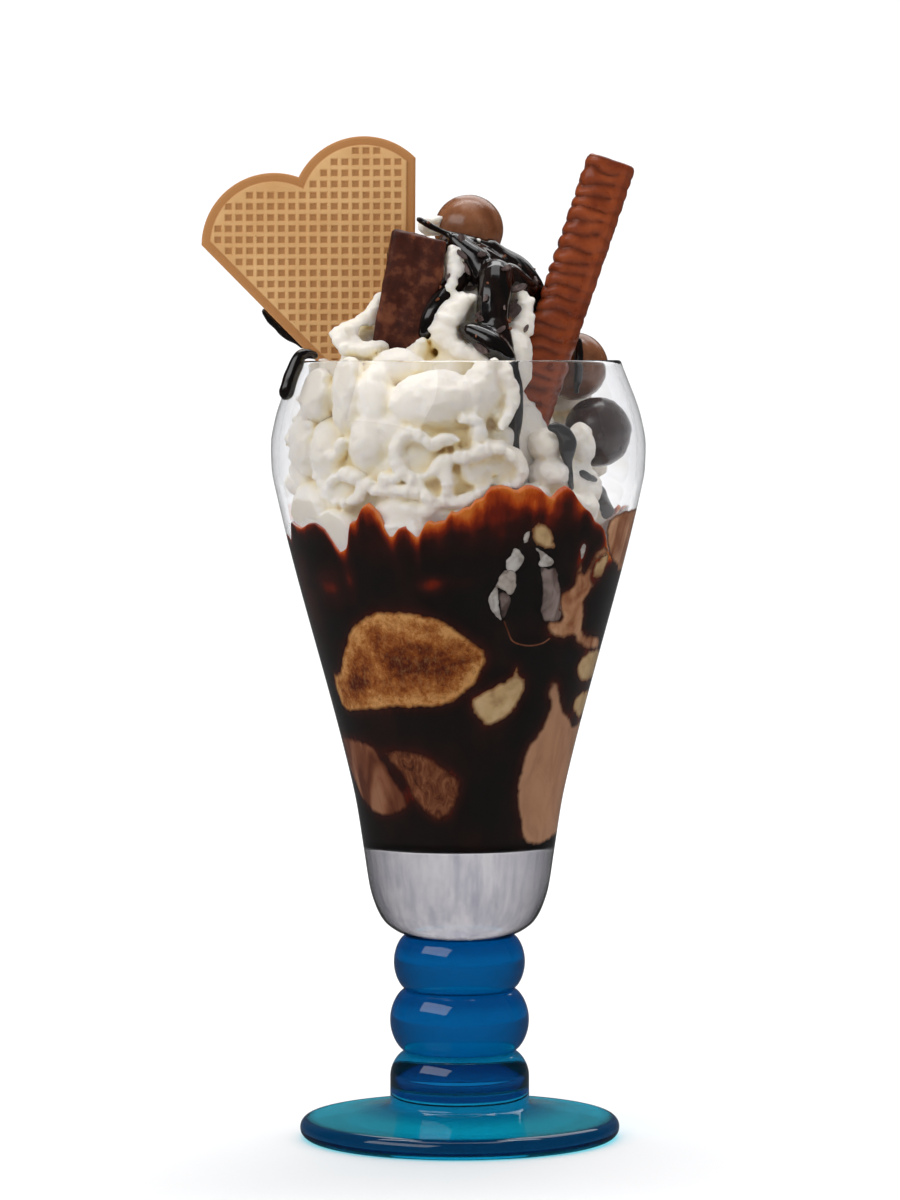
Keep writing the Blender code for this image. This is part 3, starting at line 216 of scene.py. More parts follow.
# Piped ribbons in millimetres: (points along the lip, half thickness from start to end, depth)
CREAM_RIBBONS = (
    (((0.6, -43.2, 178.9), (-4.3, -43, 178.7), (-6.9, -42.8, 177.8), (-9.5, -42, 179.7), (-12.4, -41.1, 180.5),
      (-15, -40.6, 178.4), (-15.5, -40.6, 174.9), (-13.6, -41.1, 171.2), (-10.2, -41.8, 169.7), (-6.7, -42.8, 170.9),
      (-4.1, -43.2, 173.5), (-1.5, -43.4, 174.9), (2.6, -43.4, 175.2), (6.6, -43, 176.6), (11, -42.1, 176.6),
      (14.1, -41, 173.9), (15.6, -40.3, 170.4), (13.8, -40.5, 168.1), (10.6, -41.4, 167.9)),
     (0.8, 1.25, 1.35, 1.25, 1.3, 1.3, 1.1), 9),
    (((-2.9, -43.2, 174.3), (-3.5, -43.2, 171.2), (-2.9, -42.6, 167.7), (-3.8, -41.9, 164.8), (-5.5, -41.2, 162.9)),
     (1.2, 1.3, 1.2, 0.9), 8),
    (((-4.4, -41.6, 164.5), (0.2, -41.7, 163.9), (4.3, -41.8, 165.3), (7.7, -41.8, 167.9)), (1.0, 1.2, 1.0), 7),
    (((1.7, -40.1, 174.5), (1.4, -40, 171.6), (3.1, -39.6, 169.3), (6.6, -39, 168.4), (8.9, -38.7, 169.5),
      (7.8, -39.3, 171.9), (4.9, -39.8, 172.5)), (0.8, 1.0, 0.9), 6),
    (((-32.2, -28.2, 167.2), (-31.3, -29.8, 169.5), (-28.6, -32.7, 170.6), (-25.9, -34.7, 169.9), (-24.2, -35.4, 167.6),
      (-24.8, -34.3, 165), (-27.2, -32, 163.6), (-30.2, -29.2, 163.7), (-32.1, -27.7, 165.1), (-32.3, -27.9, 166.6)),
     (0.9, 0.95, 0.9), 7),
    (((-32.2, -27.2, 167.1), (-34.9, -24.1, 168.5), (-35.8, -23.6, 171.5), (-34.3, -26, 174.4), (-30.9, -29.9, 175.1),
      (-29.1, -31.5, 178), (-27.4, -33, 178.6)), (0.9, 1.0, 0.9), 7),
    (((-24.2, -34.9, 167.6), (-21.8, -36.6, 168.5), (-21, -36.8, 166.8), (-19.2, -37.6, 166.5), (-18.2, -38.6, 168.5),
      (-19.2, -38.4, 170), (-16.6, -39.5, 169.4), (-14.5, -40.4, 170)), (0.8, 0.95, 0.8), 7),
    (((-32.3, -26.8, 165.1), (-35.6, -22, 164.7), (-36.9, -19.1, 163.4), (-35.1, -21.5, 161.9), (-32, -25.9, 162.1),
      (-33.3, -23.2, 159.7), (-30.9, -25.6, 157.9), (-27.6, -28.9, 157.2)), (0.8, 0.95, 0.8), 7),
    (((-17.7, -38.7, 165.9), (-15.4, -39.8, 166.8), (-12.5, -40.8, 166.5), (-9.6, -41.6, 166.5), (-7.3, -41.8, 165.3),
      (-6.7, -41.3, 163), (-8.5, -40.6, 161.6), (-12.5, -39.6, 161.9), (-15.5, -38.2, 160.7), (-16.7, -37, 158.3),
      (-13.7, -38.1, 157.8), (-10.2, -39.4, 158.7)), (0.9, 1.05, 1.0, 0.8), 7),
    (((7.4, -36, 197.6), (10.2, -35.8, 196.5), (12.5, -36.8, 192.4), (13.4, -37.7, 188.3), (11.9, -39.5, 184.3),
      (10.4, -40.5, 181.4)), (1.0, 1.4, 1.4, 1.0), 8),
    (((6.9, -36.2, 196.5), (7.2, -37.7, 193), (6.3, -38.8, 189.5), (4.4, -40.1, 186.1)), (0.9, 1.2, 1.0), 7),
    (((0, -41.7, 183.2), (2.6, -41.4, 184.1), (4.9, -41.5, 182.9), (5, -42, 179.8), (4.6, -42.4, 175.7)),
     (1.0, 1.2, 1.0), 7),
    (((-18.8, -12, 215.5), (-21.4, -12, 213.7), (-24.4, -14, 210.2), (-27.9, -16, 208.1), (-30.8, -19, 206.6),
      (-31.3, -21, 204.3), (-29.3, -23, 201.9), (-25.4, -24, 201), (-21.3, -24, 201.8)), (1.0, 1.3, 1.3, 1.2, 1.2), 8),
    (((4.6, -21, 214.7), (0.5, -22.5, 212.3), (-2.4, -24, 209.4), (-3.4, -25, 205.9), (-2.2, -26, 202.8),
      (1, -27.5, 200.6), (5.1, -28.5, 199.0), (8.5, -28.5, 196.9)), (1.2, 2.0, 2.3, 2.3, 1.9, 1.6, 1.3), 7),
    (((15.5, -17, 216.4), (18, -18, 213.4), (18.1, -19, 209.3), (16.6, -20, 205.2), (15, -21, 201.7),
      (13.6, -22, 198)), (1.0, 1.7, 1.9, 1.7, 1.4), 7),
    (((-9, -22, 204), (-10.2, -22.5, 200.9), (-11.6, -23, 198)), (0.7, 2.0, 3.2), 6),
    (((-1.8, -15.5, 227.2), (-0.6, -16, 224.3), (-0.4, -17, 220.6), (-1.9, -17.5, 217.3), (-4, -18, 214)),
     (0.9, 1.4, 1.3, 0.7), 5),
    (((-10.4, -5, 231.4), (-9.4, -5.5, 232.9), (-7.8, -5.5, 232.2)), (1.3, 1.5, 1.2), 7),
    (((4.6, -10.5, 228.6), (6.4, -10.5, 228.9)), (0.6, 0.7), 3),
    (((-22, -35.5, 160.5), (-19, -37, 162.4), (-16, -38, 161)), (0.8, 1.0, 0.8), 6),
    (((-2, -40, 160.2), (2, -40.3, 161.8), (6, -40, 160.5), (10, -39.2, 162.3)), (0.8, 1.0, 0.9), 6),
    (((10, -39, 165.5), (13, -38.5, 164), (16.5, -37, 165.5)), (0.8, 1.1, 0.8), 6),
    (((-39.8, -12, 172), (-41, -8.5, 175), (-40.6, -9, 179.5), (-39.2, -13, 182)), (0.9, 1.2, 0.9), 7),
    (((-36.5, -22, 180), (-37.5, -20, 184), (-35.8, -21.5, 186)), (0.8, 1.1, 0.8), 6),
)
RIBBON_SWELL = 1.32
BACK_ANGLES = (75, 294)
BACK_ROWS = ((0.1610, 10, 0.0050), (0.1710, 11, 0.0060), (0.1815, 11, 0.0064), (0.1925, 10, 0.0064), (0.2035, 7, 0.0062))
UPPER_BACK = ((0.2120, 4, 0.0150, 0.0058), (0.2200, 3, 0.0105, 0.0048))
CREAM_VOXEL = 0.00050

LUMPS = (
    ((21.5, -26.5, 177.4), (4.5, 5.0, 4.1)),
    ((30.2, -20.0, 177.4), (3.4, 5.0, 5.3)),
    ((22.6, -26.8, 170.2), (5.6, 6.0, 4.3)),
    ((31.0, -20.0, 167.3), (3.2, 4.5, 3.0)),
    ((26.0, -19.0, 167.0), (9.0, 9.0, 8.0)),
    ((24.5, -24.0, 161.0), (10.0, 9.0, 7.0)),
    ((18.0, -30.5, 163.0), (6.0, 6.0, 5.0)),
)

# Heart wafer
LOBE_RADIUS = 0.0186
LOBE_OFFSET = 0.0124
LOBE_HEIGHT = 0.0642
TIP_HALF_ANGLE = math.radians(22.5)
HEART_LEAN = math.radians(22.0)
WAFER_TIP = Vector((-0.0114, 0.0080, 0.1731))
FLANGE_WIDTH = 0.0022
FLANGE_THICKNESS = 0.0016
FIELD_THICKNESS = 0.0030
PIT_PITCH = (0.00271, 0.00283)
PIT_SIZE = (0.00215, 0.00205)
PIT_DEPTH = 0.00045

# Bar and stick
BAR_TOP = Vector((-0.0094, -0.0120, 0.2300))
BAR_SIZE = (0.0140, 0.0080, 0.0400)
BAR_LEAN = math.radians(10.6)
STICK_TOP = Vector((0.0389, -0.0100, 0.2490))
STICK_LENGTH = 0.0790
STICK_HALF_WIDTH = 0.0063
STICK_HALF_DEPTH = 0.0053
STICK_LEAN = math.radians(18.7)
STICK_PITCH = 0.0034

BALL_RADIUS = 0.00885
BALLS = {
    "ball_top": (Vector((0.0028, 0.0020, 0.2319)), "milk"),
    "ball_upper": (Vector((0.0296, 0.0060, 0.1969)), "milk"),
    "ball_lower": (Vector((0.0355, 0.0000, 0.1802)), "dark"),
}

# Sauce in millimetres: runs as (points, radii)
TOP_RUNS = (
    (((-1, -9, 229), (3.6, -11, 224.5), (6.5, -12.5, 220.6), (9, -13.5, 219), (12.5, -13.5, 220), (15, -12, 218.5),
      (18, -10, 216.5)), (2.0, 3.4, 3.8, 3.6, 3.2, 2.8, 2.0)),
    (((9.5, -15, 220), (9.2, -18.5, 214.7), (8.6, -20, 210), (8.4, -20.5, 207), (9.2, -21, 203.5), (11, -22.5, 200)),
     (4.4, 4.5, 4.2, 3.6, 3.7, 3.4)),
    (((0, -13, 219), (-4, -15.5, 213), (-6.5, -16.8, 209), (-8.2, -17.4, 205.5)), (2.6, 3.2, 3.2, 2.2)),
    (((1.5, -23, 206.5), (4, -25, 205.5), (8, -26.5, 202.8), (12, -27, 199.2)), (1.8, 2.8, 3.2, 2.6)),
    (((8, -4, 227), (14, -5, 222.5), (17.3, -6, 219), (20.5, -5, 214.5), (21, -3, 208)), (2.6, 3.2, 3.2, 2.6, 2.0)),
    (((-10, -8, 234.3), (-6.8, -8.5, 232.4), (-3.5, -8.5, 230.8), (-0.2, -8.5, 229.5), (3.6, -9, 228)),
     (0.45, 0.8, 1.1, 1.4, 2.0)),
    (((-3, -4, 228), (3, -6, 227), (8, -4, 226)), (2.6, 3.2, 2.6)),
    (((8.5, -18, 212), (10, -22.5, 205), (12, -24, 199), (13.8, -26.2, 192), (14.2, -28, 184), (13.8, -29, 176),
      (15, -29.5, 169)), (3.6, 3.4, 2.6, 1.9, 1.5, 1.7, 1.5)),
    (((14, -27.6, 184), (12.2, -28.6, 181), (12, -29, 178.5)), (1.0, 1.2, 0.7)),
    (((4, -8, 224), (12, -5, 220), (17.5, -2, 216), (20.5, 5, 207)), (4.4, 4.4, 3.8, 2.4)),
    (((4, 4, 223), (2, 13, 218), (-1, 19, 209), (-3, 22.2, 199)), (4.0, 4.0, 3.0, 2.0)),
    (((0, 4, 222), (-8, 8, 215), (-13, 10, 208)), (3.6, 3.2, 1.8)),
)
RIGHT_DRIP = (
    ((22.7, -30.6, 181.8), (25.0, -29.8, 181.1), (26.6, -29.2, 178.6), (26.7, -29.6, 175.6), (27.0, -30.0, 172.1),
     (27.6, -29.8, 167)),
    (1.0, 1.6, 2.2, 1.8, 0.9, 0.7),
)
LOW_DRIP = (
    ((30.4, -26, 170.3), (33.4, -21.5, 168.2), (35.4, -17, 164.8), (36.8, -13, 161.3), (37, -12.2, 160)),
    (1.1, 1.3, 1.4, 1.7, 1.6),
)
BALL_STREAK = (
    ((30.2, -2.4, 203.4), (30.5, -3.6, 200.6), (30.6, -3.9, 197), (30.4, -3.4, 193.6), (30, -2, 190.4)),
    (1.2, 1.3, 1.2, 1.1, 0.8),
)
WAFER_SMEAR = (
    ((-49.6, 10.4, 211.4), (-46.8, 10.6, 208), (-43.2, 10.6, 205), (-40, 10.4, 202.4)),
    (0.9, 1.2, 1.3, 0.8),
)
RIM_DRIP_ANGLE = math.radians(-67.5)
RIM_DRIP_WAY = ((39.2, 199.9), (41, 200.3), (42.8, 199.8), (44.1, 197.5), (45.6, 194), (46.7, 190.5))
RIM_DRIP_RADII = (1.1, 1.3, 1.5, 1.8, 1.9, 1.9)
# Larger flakes: (x, z, length, width in millimetres, turn in degrees)
BIG_FLAKES = (
    (15.1, 216.3, 4.8, 2.2, 25), (14.6, 211.3, 6.2, 3.4, 55), (5.7, 201.7, 4.6, 1.9, -35), (3.1, 216.5, 3.2, 1.4, 10),
    (10.5, 206.0, 3.6, 1.3, 40), (2.2, 221.7, 4.6, 1.3, -55), (0.6, 225.0, 3.6, 1.4, -50), (6.0, 225.0, 3.0, 1.6, 5),
    (12.0, 221.5, 3.2, 1.5, 20), (7.0, 214.0, 2.2, 1.2, 70), (17.0, 206.5, 2.4, 1.1, 60),
)

# Camera, from the photograph's perspective
CAMERA_DISTANCE = 1.25
CAMERA_HEIGHT = 0.1987
CAMERA_SIDE = -0.0022
CAMERA_PITCH = math.radians(2.80)
CAMERA_ROLL = math.radians(-0.13)
CAMERA_LENS = 147.2


def metres(points):
    """Points given in millimetres as vectors in metres."""
    return [Vector(point) / 1000 for point in points]


def colour(red, green, blue):
    """A linear colour from screen values of 0 to 255."""
    parts = []
    for value in (red, green, blue):
        share = value / 255
        parts.append(share / 12.92 if share <= 0.04045 else ((share + 0.055) / 1.055) ** 2.4)
    return (*parts, 1.0)


class SundaeSizes(bpy.types.PropertyGroup):
    """Sizes of the sundae that a user would change."""

    wall: FloatProperty(name="Glass Wall", description="Thickness of the bowl's wall", default=0.0020, unit="LENGTH")
    floor: FloatProperty(name="Bowl Floor", description="Height of the inside floor", default=0.0750, unit="LENGTH")
    ripple: FloatProperty(name="Stick Ripple", description="Depth of the stick's ripples", default=0.0006, unit="LENGTH")
    flakes: FloatProperty(name="Flake Size", description="Length of a chocolate flake", default=0.0030, unit="LENGTH")


class SundaeColours(bpy.types.PropertyGroup):
    """Colours of the sundae that a user would change."""

    cream: FloatVectorProperty(name="Cream", description="Whipped cream", subtype="COLOR", size=4, default=colour(242, 234, 222))
    sauce: FloatVectorProperty(name="Sauce", description="Chocolate sauce", subtype="COLOR", size=4, default=colour(12, 8, 7))
    stem: FloatVectorProperty(name="Stem", description="Stem and foot glass", subtype="COLOR", size=4, default=colour(0, 80, 134))
    wafer: FloatVectorProperty(name="Wafer", description="Wafer", subtype="COLOR", size=4, default=colour(230, 184, 126))
    milk: FloatVectorProperty(name="Milk Chocolate", description="Balls and stick", subtype="COLOR", size=4, default=colour(122, 50, 20))


# ---- mesh helpers


def new_object(name, vertices, faces, smooth=True):
    """A mesh object with its faces turned outward."""
    mesh = bpy.data.meshes.new(name)
    mesh.from_pydata([tuple(vertex) for vertex in vertices], [], faces)
    body = bmesh.new()
    body.from_mesh(mesh)
    bmesh.ops.recalc_face_normals(body, faces=body.faces)
    body.to_mesh(mesh)
    body.free()
    mesh.polygons.foreach_set("use_smooth", [smooth] * len(mesh.polygons))
    obj = bpy.data.objects.new(name, mesh)
    bpy.context.scene.collection.objects.link(obj)
    return obj


def skin_parts(first, rings, last):
    """Vertices and faces of a body closed from a first point through equal rings to a last point."""
    count = len(rings[0])
    vertices = [first]
    for ring in rings:
        vertices.extend(ring)
    vertices.append(last)
    faces = []
    end = len(vertices) - 1
    for side in range(count):
        after = (side + 1) % count
        faces.append((0, 1 + after, 1 + side))
        for row in range(len(rings) - 1):
            low = 1 + row * count
            high = low + count
            faces.append((low + side, low + after, high + after, high + side))
        low = 1 + (len(rings) - 1) * count
        faces.append((end, low + side, low + after))
    return vertices, faces


def skin(name, first, rings, last, smooth=True):
    """An object closed from a first point through equal rings to a last point."""
    return new_object(name, *skin_parts(first, rings, last), smooth)


def circle(radius, height, sides):
    """Points of a level circle round the axis."""
    turn = 2 * math.pi / sides
    return [(radius * math.cos(turn * i), radius * math.sin(turn * i), height) for i in range(sides)]


def turned(name, profile, sides):
    """A solid turned from a profile that starts and ends on the axis."""
    rings = [circle(radius, height, sides) for radius, height in profile[1:-1]]
    return skin(name, (0, 0, profile[0][1]), rings, (0, 0, profile[-1][1]))


def outline_curve(stations):
    """A smooth rule from height to radius through the stations, without overshoot."""
    heights = [station[0] for station in stations]
    radii = [station[1] for station in stations]
    slopes = [(b - a) / (d - c) for a, b, c, d in zip(radii, radii[1:], heights, heights[1:])]
    tangents = [slopes[0]]
    for before, after in zip(slopes, slopes[1:]):
        tangents.append(2 * before * after / (before + after) if before * after > 0 else 0.0)
    tangents.append(slopes[-1])

    def radius(height):
        index = 0
        while index < len(slopes) - 1 and height > heights[index + 1]:
            index += 1
        span = heights[index + 1] - heights[index]
        t = min(max((height - heights[index]) / span, 0.0), 1.0)
        blend = t * t * (3 - 2 * t)
        lift = t * (1 - t) * ((1 - t) * tangents[index] - t * tangents[index + 1]) * span
        return radii[index] * (1 - blend) + radii[index + 1] * blend + lift

    return radius


outer_radius = outline_curve(BOWL_OUTLINE)


def inner_radius(height):
    """Radius of the bowl's inside."""
    top = BOWL_OUTLINE[-1][0]
    return outer_radius(min(max(height, BOWL_OUTLINE[0][0]), top)) - bpy.context.scene.sundae_sizes.wall


def wall_point(degrees, height, inward=0.0):
    """A point on the bowl's inside, moved toward the axis by a distance."""
    turn = math.radians(degrees)
    radius = inner_radius(height) - inward
    return Vector((radius * math.sin(turn), -radius * math.cos(turn), height))


def spline(points, steps):
    """Points along a smooth curve through the given ones."""
    line = [Vector(point) for point in points]
    line = [2 * line[0] - line[1], *line, 2 * line[-1] - line[-2]]
    result = []
    for a, b, c, d in zip(line, line[1:], line[2:], line[3:]):
        for step in range(steps):
            t = step / steps
            near = 2 * b + (c - a) * t + (2 * a - 5 * b + 4 * c - d) * t**2
            result.append((near + (3 * b - a - 3 * c + d) * t**3) / 2)
    result.append(line[-2])
    return result


def closed_spline(points, steps):
    """Points along a smooth closed curve through the given ones."""
    line = [Vector(point) for point in points]
    count = len(line)
    result = []
    for index in range(count):
        a, b, c, d = (line[(index + shift) % count] for shift in (-1, 0, 1, 2))
        for step in range(steps):
            t = step / steps
            near = 2 * b + (c - a) * t + (2 * a - 5 * b + 4 * c - d) * t**2
            result.append((near + (3 * b - a - 3 * c + d) * t**3) / 2)
    return result


def rope_parts(points, radii, sides):
    """A rounded body along a line of points with a radius at each."""
    rings = []
    ahead = [(after - before).normalized() for before, after in zip(points, points[1:])]
    ahead.append(ahead[-1])
    across = ahead[0].orthogonal().normalized()
    for point, radius, direction in zip(points, radii, ahead):
        across = (across - direction * across.dot(direction)).normalized()
        other = direction.cross(across)
        ring = []
        for side in range(sides):
            angle = 2 * math.pi * side / sides
            ring.append(point + radius * (across * math.cos(angle) + other * math.sin(angle)))
        rings.append(ring)
    for share, depth in ((0.82, 0.5), (0.45, 0.85)):
        rings.insert(0, [points[0] + (spot - points[0]) * share - ahead[0] * radii[0] * depth for spot in rings[0 if depth == 0.5 else 1]])
    for share, depth in ((0.82, 0.5), (0.45, 0.85)):
        ring = rings[-1] if depth == 0.5 else rings[-2]
        rings.append([points[-1] + (spot - points[-1]) * share + ahead[-1] * radii[-1] * depth for spot in ring])
    return skin_parts(points[0] - ahead[0] * radii[0], rings, points[-1] + ahead[-1] * radii[-1])


def run_parts(run, steps=8, sides=14):
    """A run of sauce in millimetres that swells and thins along its way."""
    points = spline(metres(run[0]), steps)
    radii = [radius.x for radius in spline(metres([(value, 0, 0) for value in run[1]]), steps)]
    return rope_parts(points, radii, sides)


def ball_parts(centre, radii, detail=3):
    """A rounded body."""
    body = bmesh.new()
    bmesh.ops.create_icosphere(body, subdivisions=detail, radius=1.0)
    middle = Vector(centre)
    vertices = [middle + Vector((v.co.x * radii[0], v.co.y * radii[1], v.co.z * radii[2])) for v in body.verts]
    faces = [tuple(v.index for v in face.verts) for face in body.faces]
    body.free()
    return vertices, faces


def melted(name, parts, voxel, smoothing):
    """Overlapping closed bodies melted into one soft skin."""
    vertices = []
    faces = []
    for some_vertices, some_faces in parts:
        start = len(vertices)
        vertices.extend(some_vertices)
        faces.extend(tuple(index + start for index in face) for face in some_faces)
    obj = new_object(name, vertices, faces)
    remesh = obj.modifiers.new("melt", "REMESH")
    remesh.mode = "VOXEL"
    remesh.voxel_size = voxel * 1
    soften = obj.modifiers.new("soften", "SMOOTH")
    soften.factor = 0.5
    soften.iterations = smoothing
    return applied(obj)


def applied(obj):
    """Apply an object's modifiers to its mesh and shade it smooth."""
    graph = bpy.context.evaluated_depsgraph_get()
    mesh = bpy.data.meshes.new_from_object(obj.evaluated_get(graph))
    old = obj.data
    obj.modifiers.clear()
    obj.data = mesh
    bpy.data.meshes.remove(old)
    mesh.polygons.foreach_set("use_smooth", [True] * len(mesh.polygons))
    return obj


def thinned(obj, most):
    """Join small faces until the mesh has at most so many triangles."""
    obj.data.calc_loop_triangles()
    count = len(obj.data.loop_triangles)
    if count > most:
        fewer = obj.modifiers.new("fewer", "DECIMATE")
        fewer.ratio = most / count
        applied(obj)


def positions(obj):
    """Vertex positions as an array."""
    flat = np.zeros(len(obj.data.vertices) * 3)
    obj.data.vertices.foreach_get("co", flat)
    return flat.reshape(-1, 3)


def move_to(obj, points):
    """Write an array of vertex positions back."""
    obj.data.vertices.foreach_set("co", np.asarray(points, float).ravel())
    obj.data.update()


def give(obj, name, values):
    """Store one number per vertex for a material to read."""
    layer = obj.data.attributes.new(name, "FLOAT", "POINT")
    layer.data.foreach_set("value", np.asarray(values, np.float32))


def roughened(obj, amount, size, seed=0.0):
    """Push the surface in and out a little, by smooth noise."""
    points = positions(obj)
    normals = np.zeros(len(points) * 3)
    obj.data.vertices.foreach_get("normal", normals)
    normals = normals.reshape(-1, 3)
    shift = Vector((seed, seed * 0.7, -seed))
    lift = np.array([noise.noise(Vector(point) / size + shift) for point in points])
    move_to(obj, points + normals * (lift * amount)[:, None])
    return obj


def pressed(obj, crown=None, clearance=0.0004):
    """Flatten what would pass the glass against its inside."""
    points = positions(obj)
    radius = np.hypot(points[:, 0], points[:, 1])
    heights = np.linspace(BOWL_OUTLINE[0][0], RIM_TOP, 400)
    walls = np.array([inner_radius(height) for height in heights])
    limit = np.interp(points[:, 2], heights, walls) + TOUCH
    if crown is not None:
        angle = np.degrees(np.arctan2(points[:, 0], -points[:, 1]))
        edge = np.interp(angle, crown[0], crown[1], period=360)
        limit = np.where(points[:, 2] < edge + 0.0006, limit - clearance - TOUCH, limit)
    limit = np.where(points[:, 2] > RIM_TOP - 0.001, limit - 0.0006, limit)
    inside = points[:, 2] < RIM_TOP + 0.0015
    scale = np.where(inside & (radius > limit), limit / np.maximum(radius, 1e-9), 1.0)
    points[:, 0] *= scale
    points[:, 1] *= scale
    move_to(obj, points)
    return obj


def hollows(obj, reach, rays=11):
    """Share of the sky that near surfaces hide from each vertex."""
    body = bmesh.new()
    body.from_mesh(obj.data)
    tree = BVHTree.FromBMesh(body)
    body.normal_update()
    chance = random.Random(SEED)
    fan = []
    for index in range(rays):
        height = 1 - (index + 0.5) / rays
        angle = index * 2.39996
        flat = math.sqrt(1 - height * height)
        fan.append(Vector((flat * math.cos(angle), flat * math.sin(angle), height * 0.9 + 0.1)))
    shade = []
    for vertex in body.verts:
        normal = vertex.normal
        turn = normal.to_track_quat("Z", "Y")
        start = vertex.co + normal * 0.00012
        hidden = 0.0
        spin = Matrix.Rotation(chance.uniform(0, 6.28), 3, "Z")
        for direction in fan:
            found = tree.ray_cast(start, turn @ (spin @ direction), reach)
            if found[0] is not None:
                hidden += 1 - found[3] / reach
        shade.append(hidden / rays)
    links = [[edge.other_vert(vertex).index for edge in vertex.link_edges] for vertex in body.verts]
    body.free()
    values = np.array(shade)
    for _ in range(3):
        values = np.array([0.4 * values[i] + 0.6 * values[near].mean() for i, near in enumerate(links)])
    return values


# ---- material helpers


class Finish:
    """A node material under construction."""

    def __init__(self, name):
        self.material = bpy.data.materials.new(name)
        self.material.use_nodes = True
        self.nodes = self.material.node_tree.nodes
        self.links = self.material.node_tree.links
        self.shader = self.nodes["Principled BSDF"]
        self.place = self.nodes.new("ShaderNodeTexCoord").outputs["Object"]

    def put(self, socket, value):
        """Set an input or link an output to it."""
        if isinstance(value, bpy.types.NodeSocket):
            self.links.new(value, socket)
        else:
            socket.default_value = value

    def set(self, **values):
        """Set inputs of the shader by name."""
        for name, value in values.items():
            self.put(self.shader.inputs[name.replace("_", " ").title().replace("Ior", "IOR")], value)
        return self

    def noise(self, scale, detail=4.0, roughness=0.55, distortion=0.0, stretch=None, seed=0.0):
        """Noise in object space, scale in features per metre."""
        place = self.place
        if stretch or seed:
            mapping = self.nodes.new("ShaderNodeMapping")
            mapping.inputs["Scale"].default_value = stretch or (1, 1, 1)
            mapping.inputs["Location"].default_value = (seed, seed * 0.37, seed * 0.71)
            self.links.new(place, mapping.inputs["Vector"])
            place = mapping.outputs["Vector"]
        node = self.nodes.new("ShaderNodeTexNoise")
        self.links.new(place, node.inputs["Vector"])
        node.inputs["Scale"].default_value = scale
        node.inputs["Detail"].default_value = detail
        node.inputs["Roughness"].default_value = roughness
        node.inputs["Distortion"].default_value = distortion
        return node.outputs["Fac"]

    def cells(self, scale, feature="F1", randomness=1.0):
        """Cell pattern in object space."""
        node = self.nodes.new("ShaderNodeTexVoronoi")
        node.feature = feature
        self.links.new(self.place, node.inputs["Vector"])
        node.inputs["Scale"].default_value = scale
        node.inputs["Randomness"].default_value = randomness
        return node.outputs["Distance"]

    def ramp(self, factor, *stops):
        """Colours at places from 0 to 1."""
        node = self.nodes.new("ShaderNodeValToRGB")
        elements = node.color_ramp.elements
        while len(elements) < len(stops):
            elements.new(0.5)
        for element, (place, value) in zip(elements, stops):
            element.position = place
            element.color = value
        self.put(node.inputs["Fac"], factor)
        return node.outputs["Color"]

    def span(self, value, low, high, to_low=0.0, to_high=1.0):
        """Map a range of values to another, held at its ends."""
        node = self.nodes.new("ShaderNodeMapRange")
        self.put(node.inputs["Value"], value)
        for name, number in (("From Min", low), ("From Max", high), ("To Min", to_low), ("To Max", to_high)):
            node.inputs[name].default_value = number
        return node.outputs["Result"]

    def mix(self, factor, low, high, blend="MIX"):
        """Mix two colours."""
        node = self.nodes.new("ShaderNodeMix")
        node.data_type = "RGBA"
        node.blend_type = blend
        self.put(node.inputs["Factor"], factor)
        self.put(node.inputs[6], low)
        self.put(node.inputs[7], high)
        return node.outputs[2]

    def math(self, operation, first, second=0.0):
        """One sum on two values."""
        node = self.nodes.new("ShaderNodeMath")
        node.operation = operation
        self.put(node.inputs[0], first)
        self.put(node.inputs[1], second)
        return node.outputs[0]

    def value(self, name):
        """A number stored on the mesh."""
        node = self.nodes.new("ShaderNodeAttribute")
        node.attribute_name = name
        return node.outputs["Fac"]

    def axis(self, name):
        """One axis of the object's own space."""
        node = self.nodes.new("ShaderNodeSeparateXYZ")
        self.links.new(self.place, node.inputs[0])
        return node.outputs[name]

    def bump(self, height, strength, distance):
        """Raise the surface by a height pattern."""
        node = self.nodes.new("ShaderNodeBump")
        node.inputs["Strength"].default_value = strength
        node.inputs["Distance"].default_value = distance
        self.put(node.inputs["Height"], height)
        self.links.new(node.outputs["Normal"], self.shader.inputs["Normal"])
        return self

    def lets_lamps_through(self, tint):
        """Let lamps shine through glass instead of casting a black shadow."""
        path = self.nodes.new("ShaderNodeLightPath")
        clear = self.nodes.new("ShaderNodeBsdfTransparent")
        clear.inputs["Color"].default_value = tint
        mixed = self.nodes.new("ShaderNodeMixShader")
        output = self.nodes["Material Output"]
        self.links.new(path.outputs["Is Shadow Ray"], mixed.inputs[0])
        self.links.new(self.shader.outputs[0], mixed.inputs[1])
        self.links.new(clear.outputs[0], mixed.inputs[2])
        self.links.new(mixed.outputs[0], output.inputs["Surface"])
        return self


def dress(obj, finish, slot, *nodes):
    """Give a piece its finish, its slot and the solids it stands for."""
    obj.data.materials.clear()
    obj.data.materials.append(finish.material)
    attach(obj, ROOT)
    if nodes:
        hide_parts(*nodes)
    return obj


def clear_glass():
    """Colourless glass with faint drawing lines and dust."""
    finish = Finish("clear_glass")
    streaks = finish.span(finish.noise(420, 3, 0.6, stretch=(1, 1, 0.04), seed=8), 0.42, 0.66)
    thick = finish.span(finish.axis("Z"), 0.0745, 0.0760, 1.0, 0.0)
    base = finish.mix(streaks, colour(186, 183, 186), colour(152, 150, 160))
    finish.set(base_color=finish.mix(thick, colour(253, 253, 254), base), transmission_weight=1.0, ior=1.48)
    finish.set(specular_ior_level=0.4)
    smear = finish.noise(55, 3, stretch=(1, 1, 0.12))
    finish.set(roughness=finish.span(smear, 0.35, 0.75, 0.0, 0.03))
    finish.bump(finish.noise(90, 2, stretch=(1, 1, 0.08), seed=3), 0.10, 0.0004)
    return finish.lets_lamps_through((0.97, 0.975, 0.98, 1))


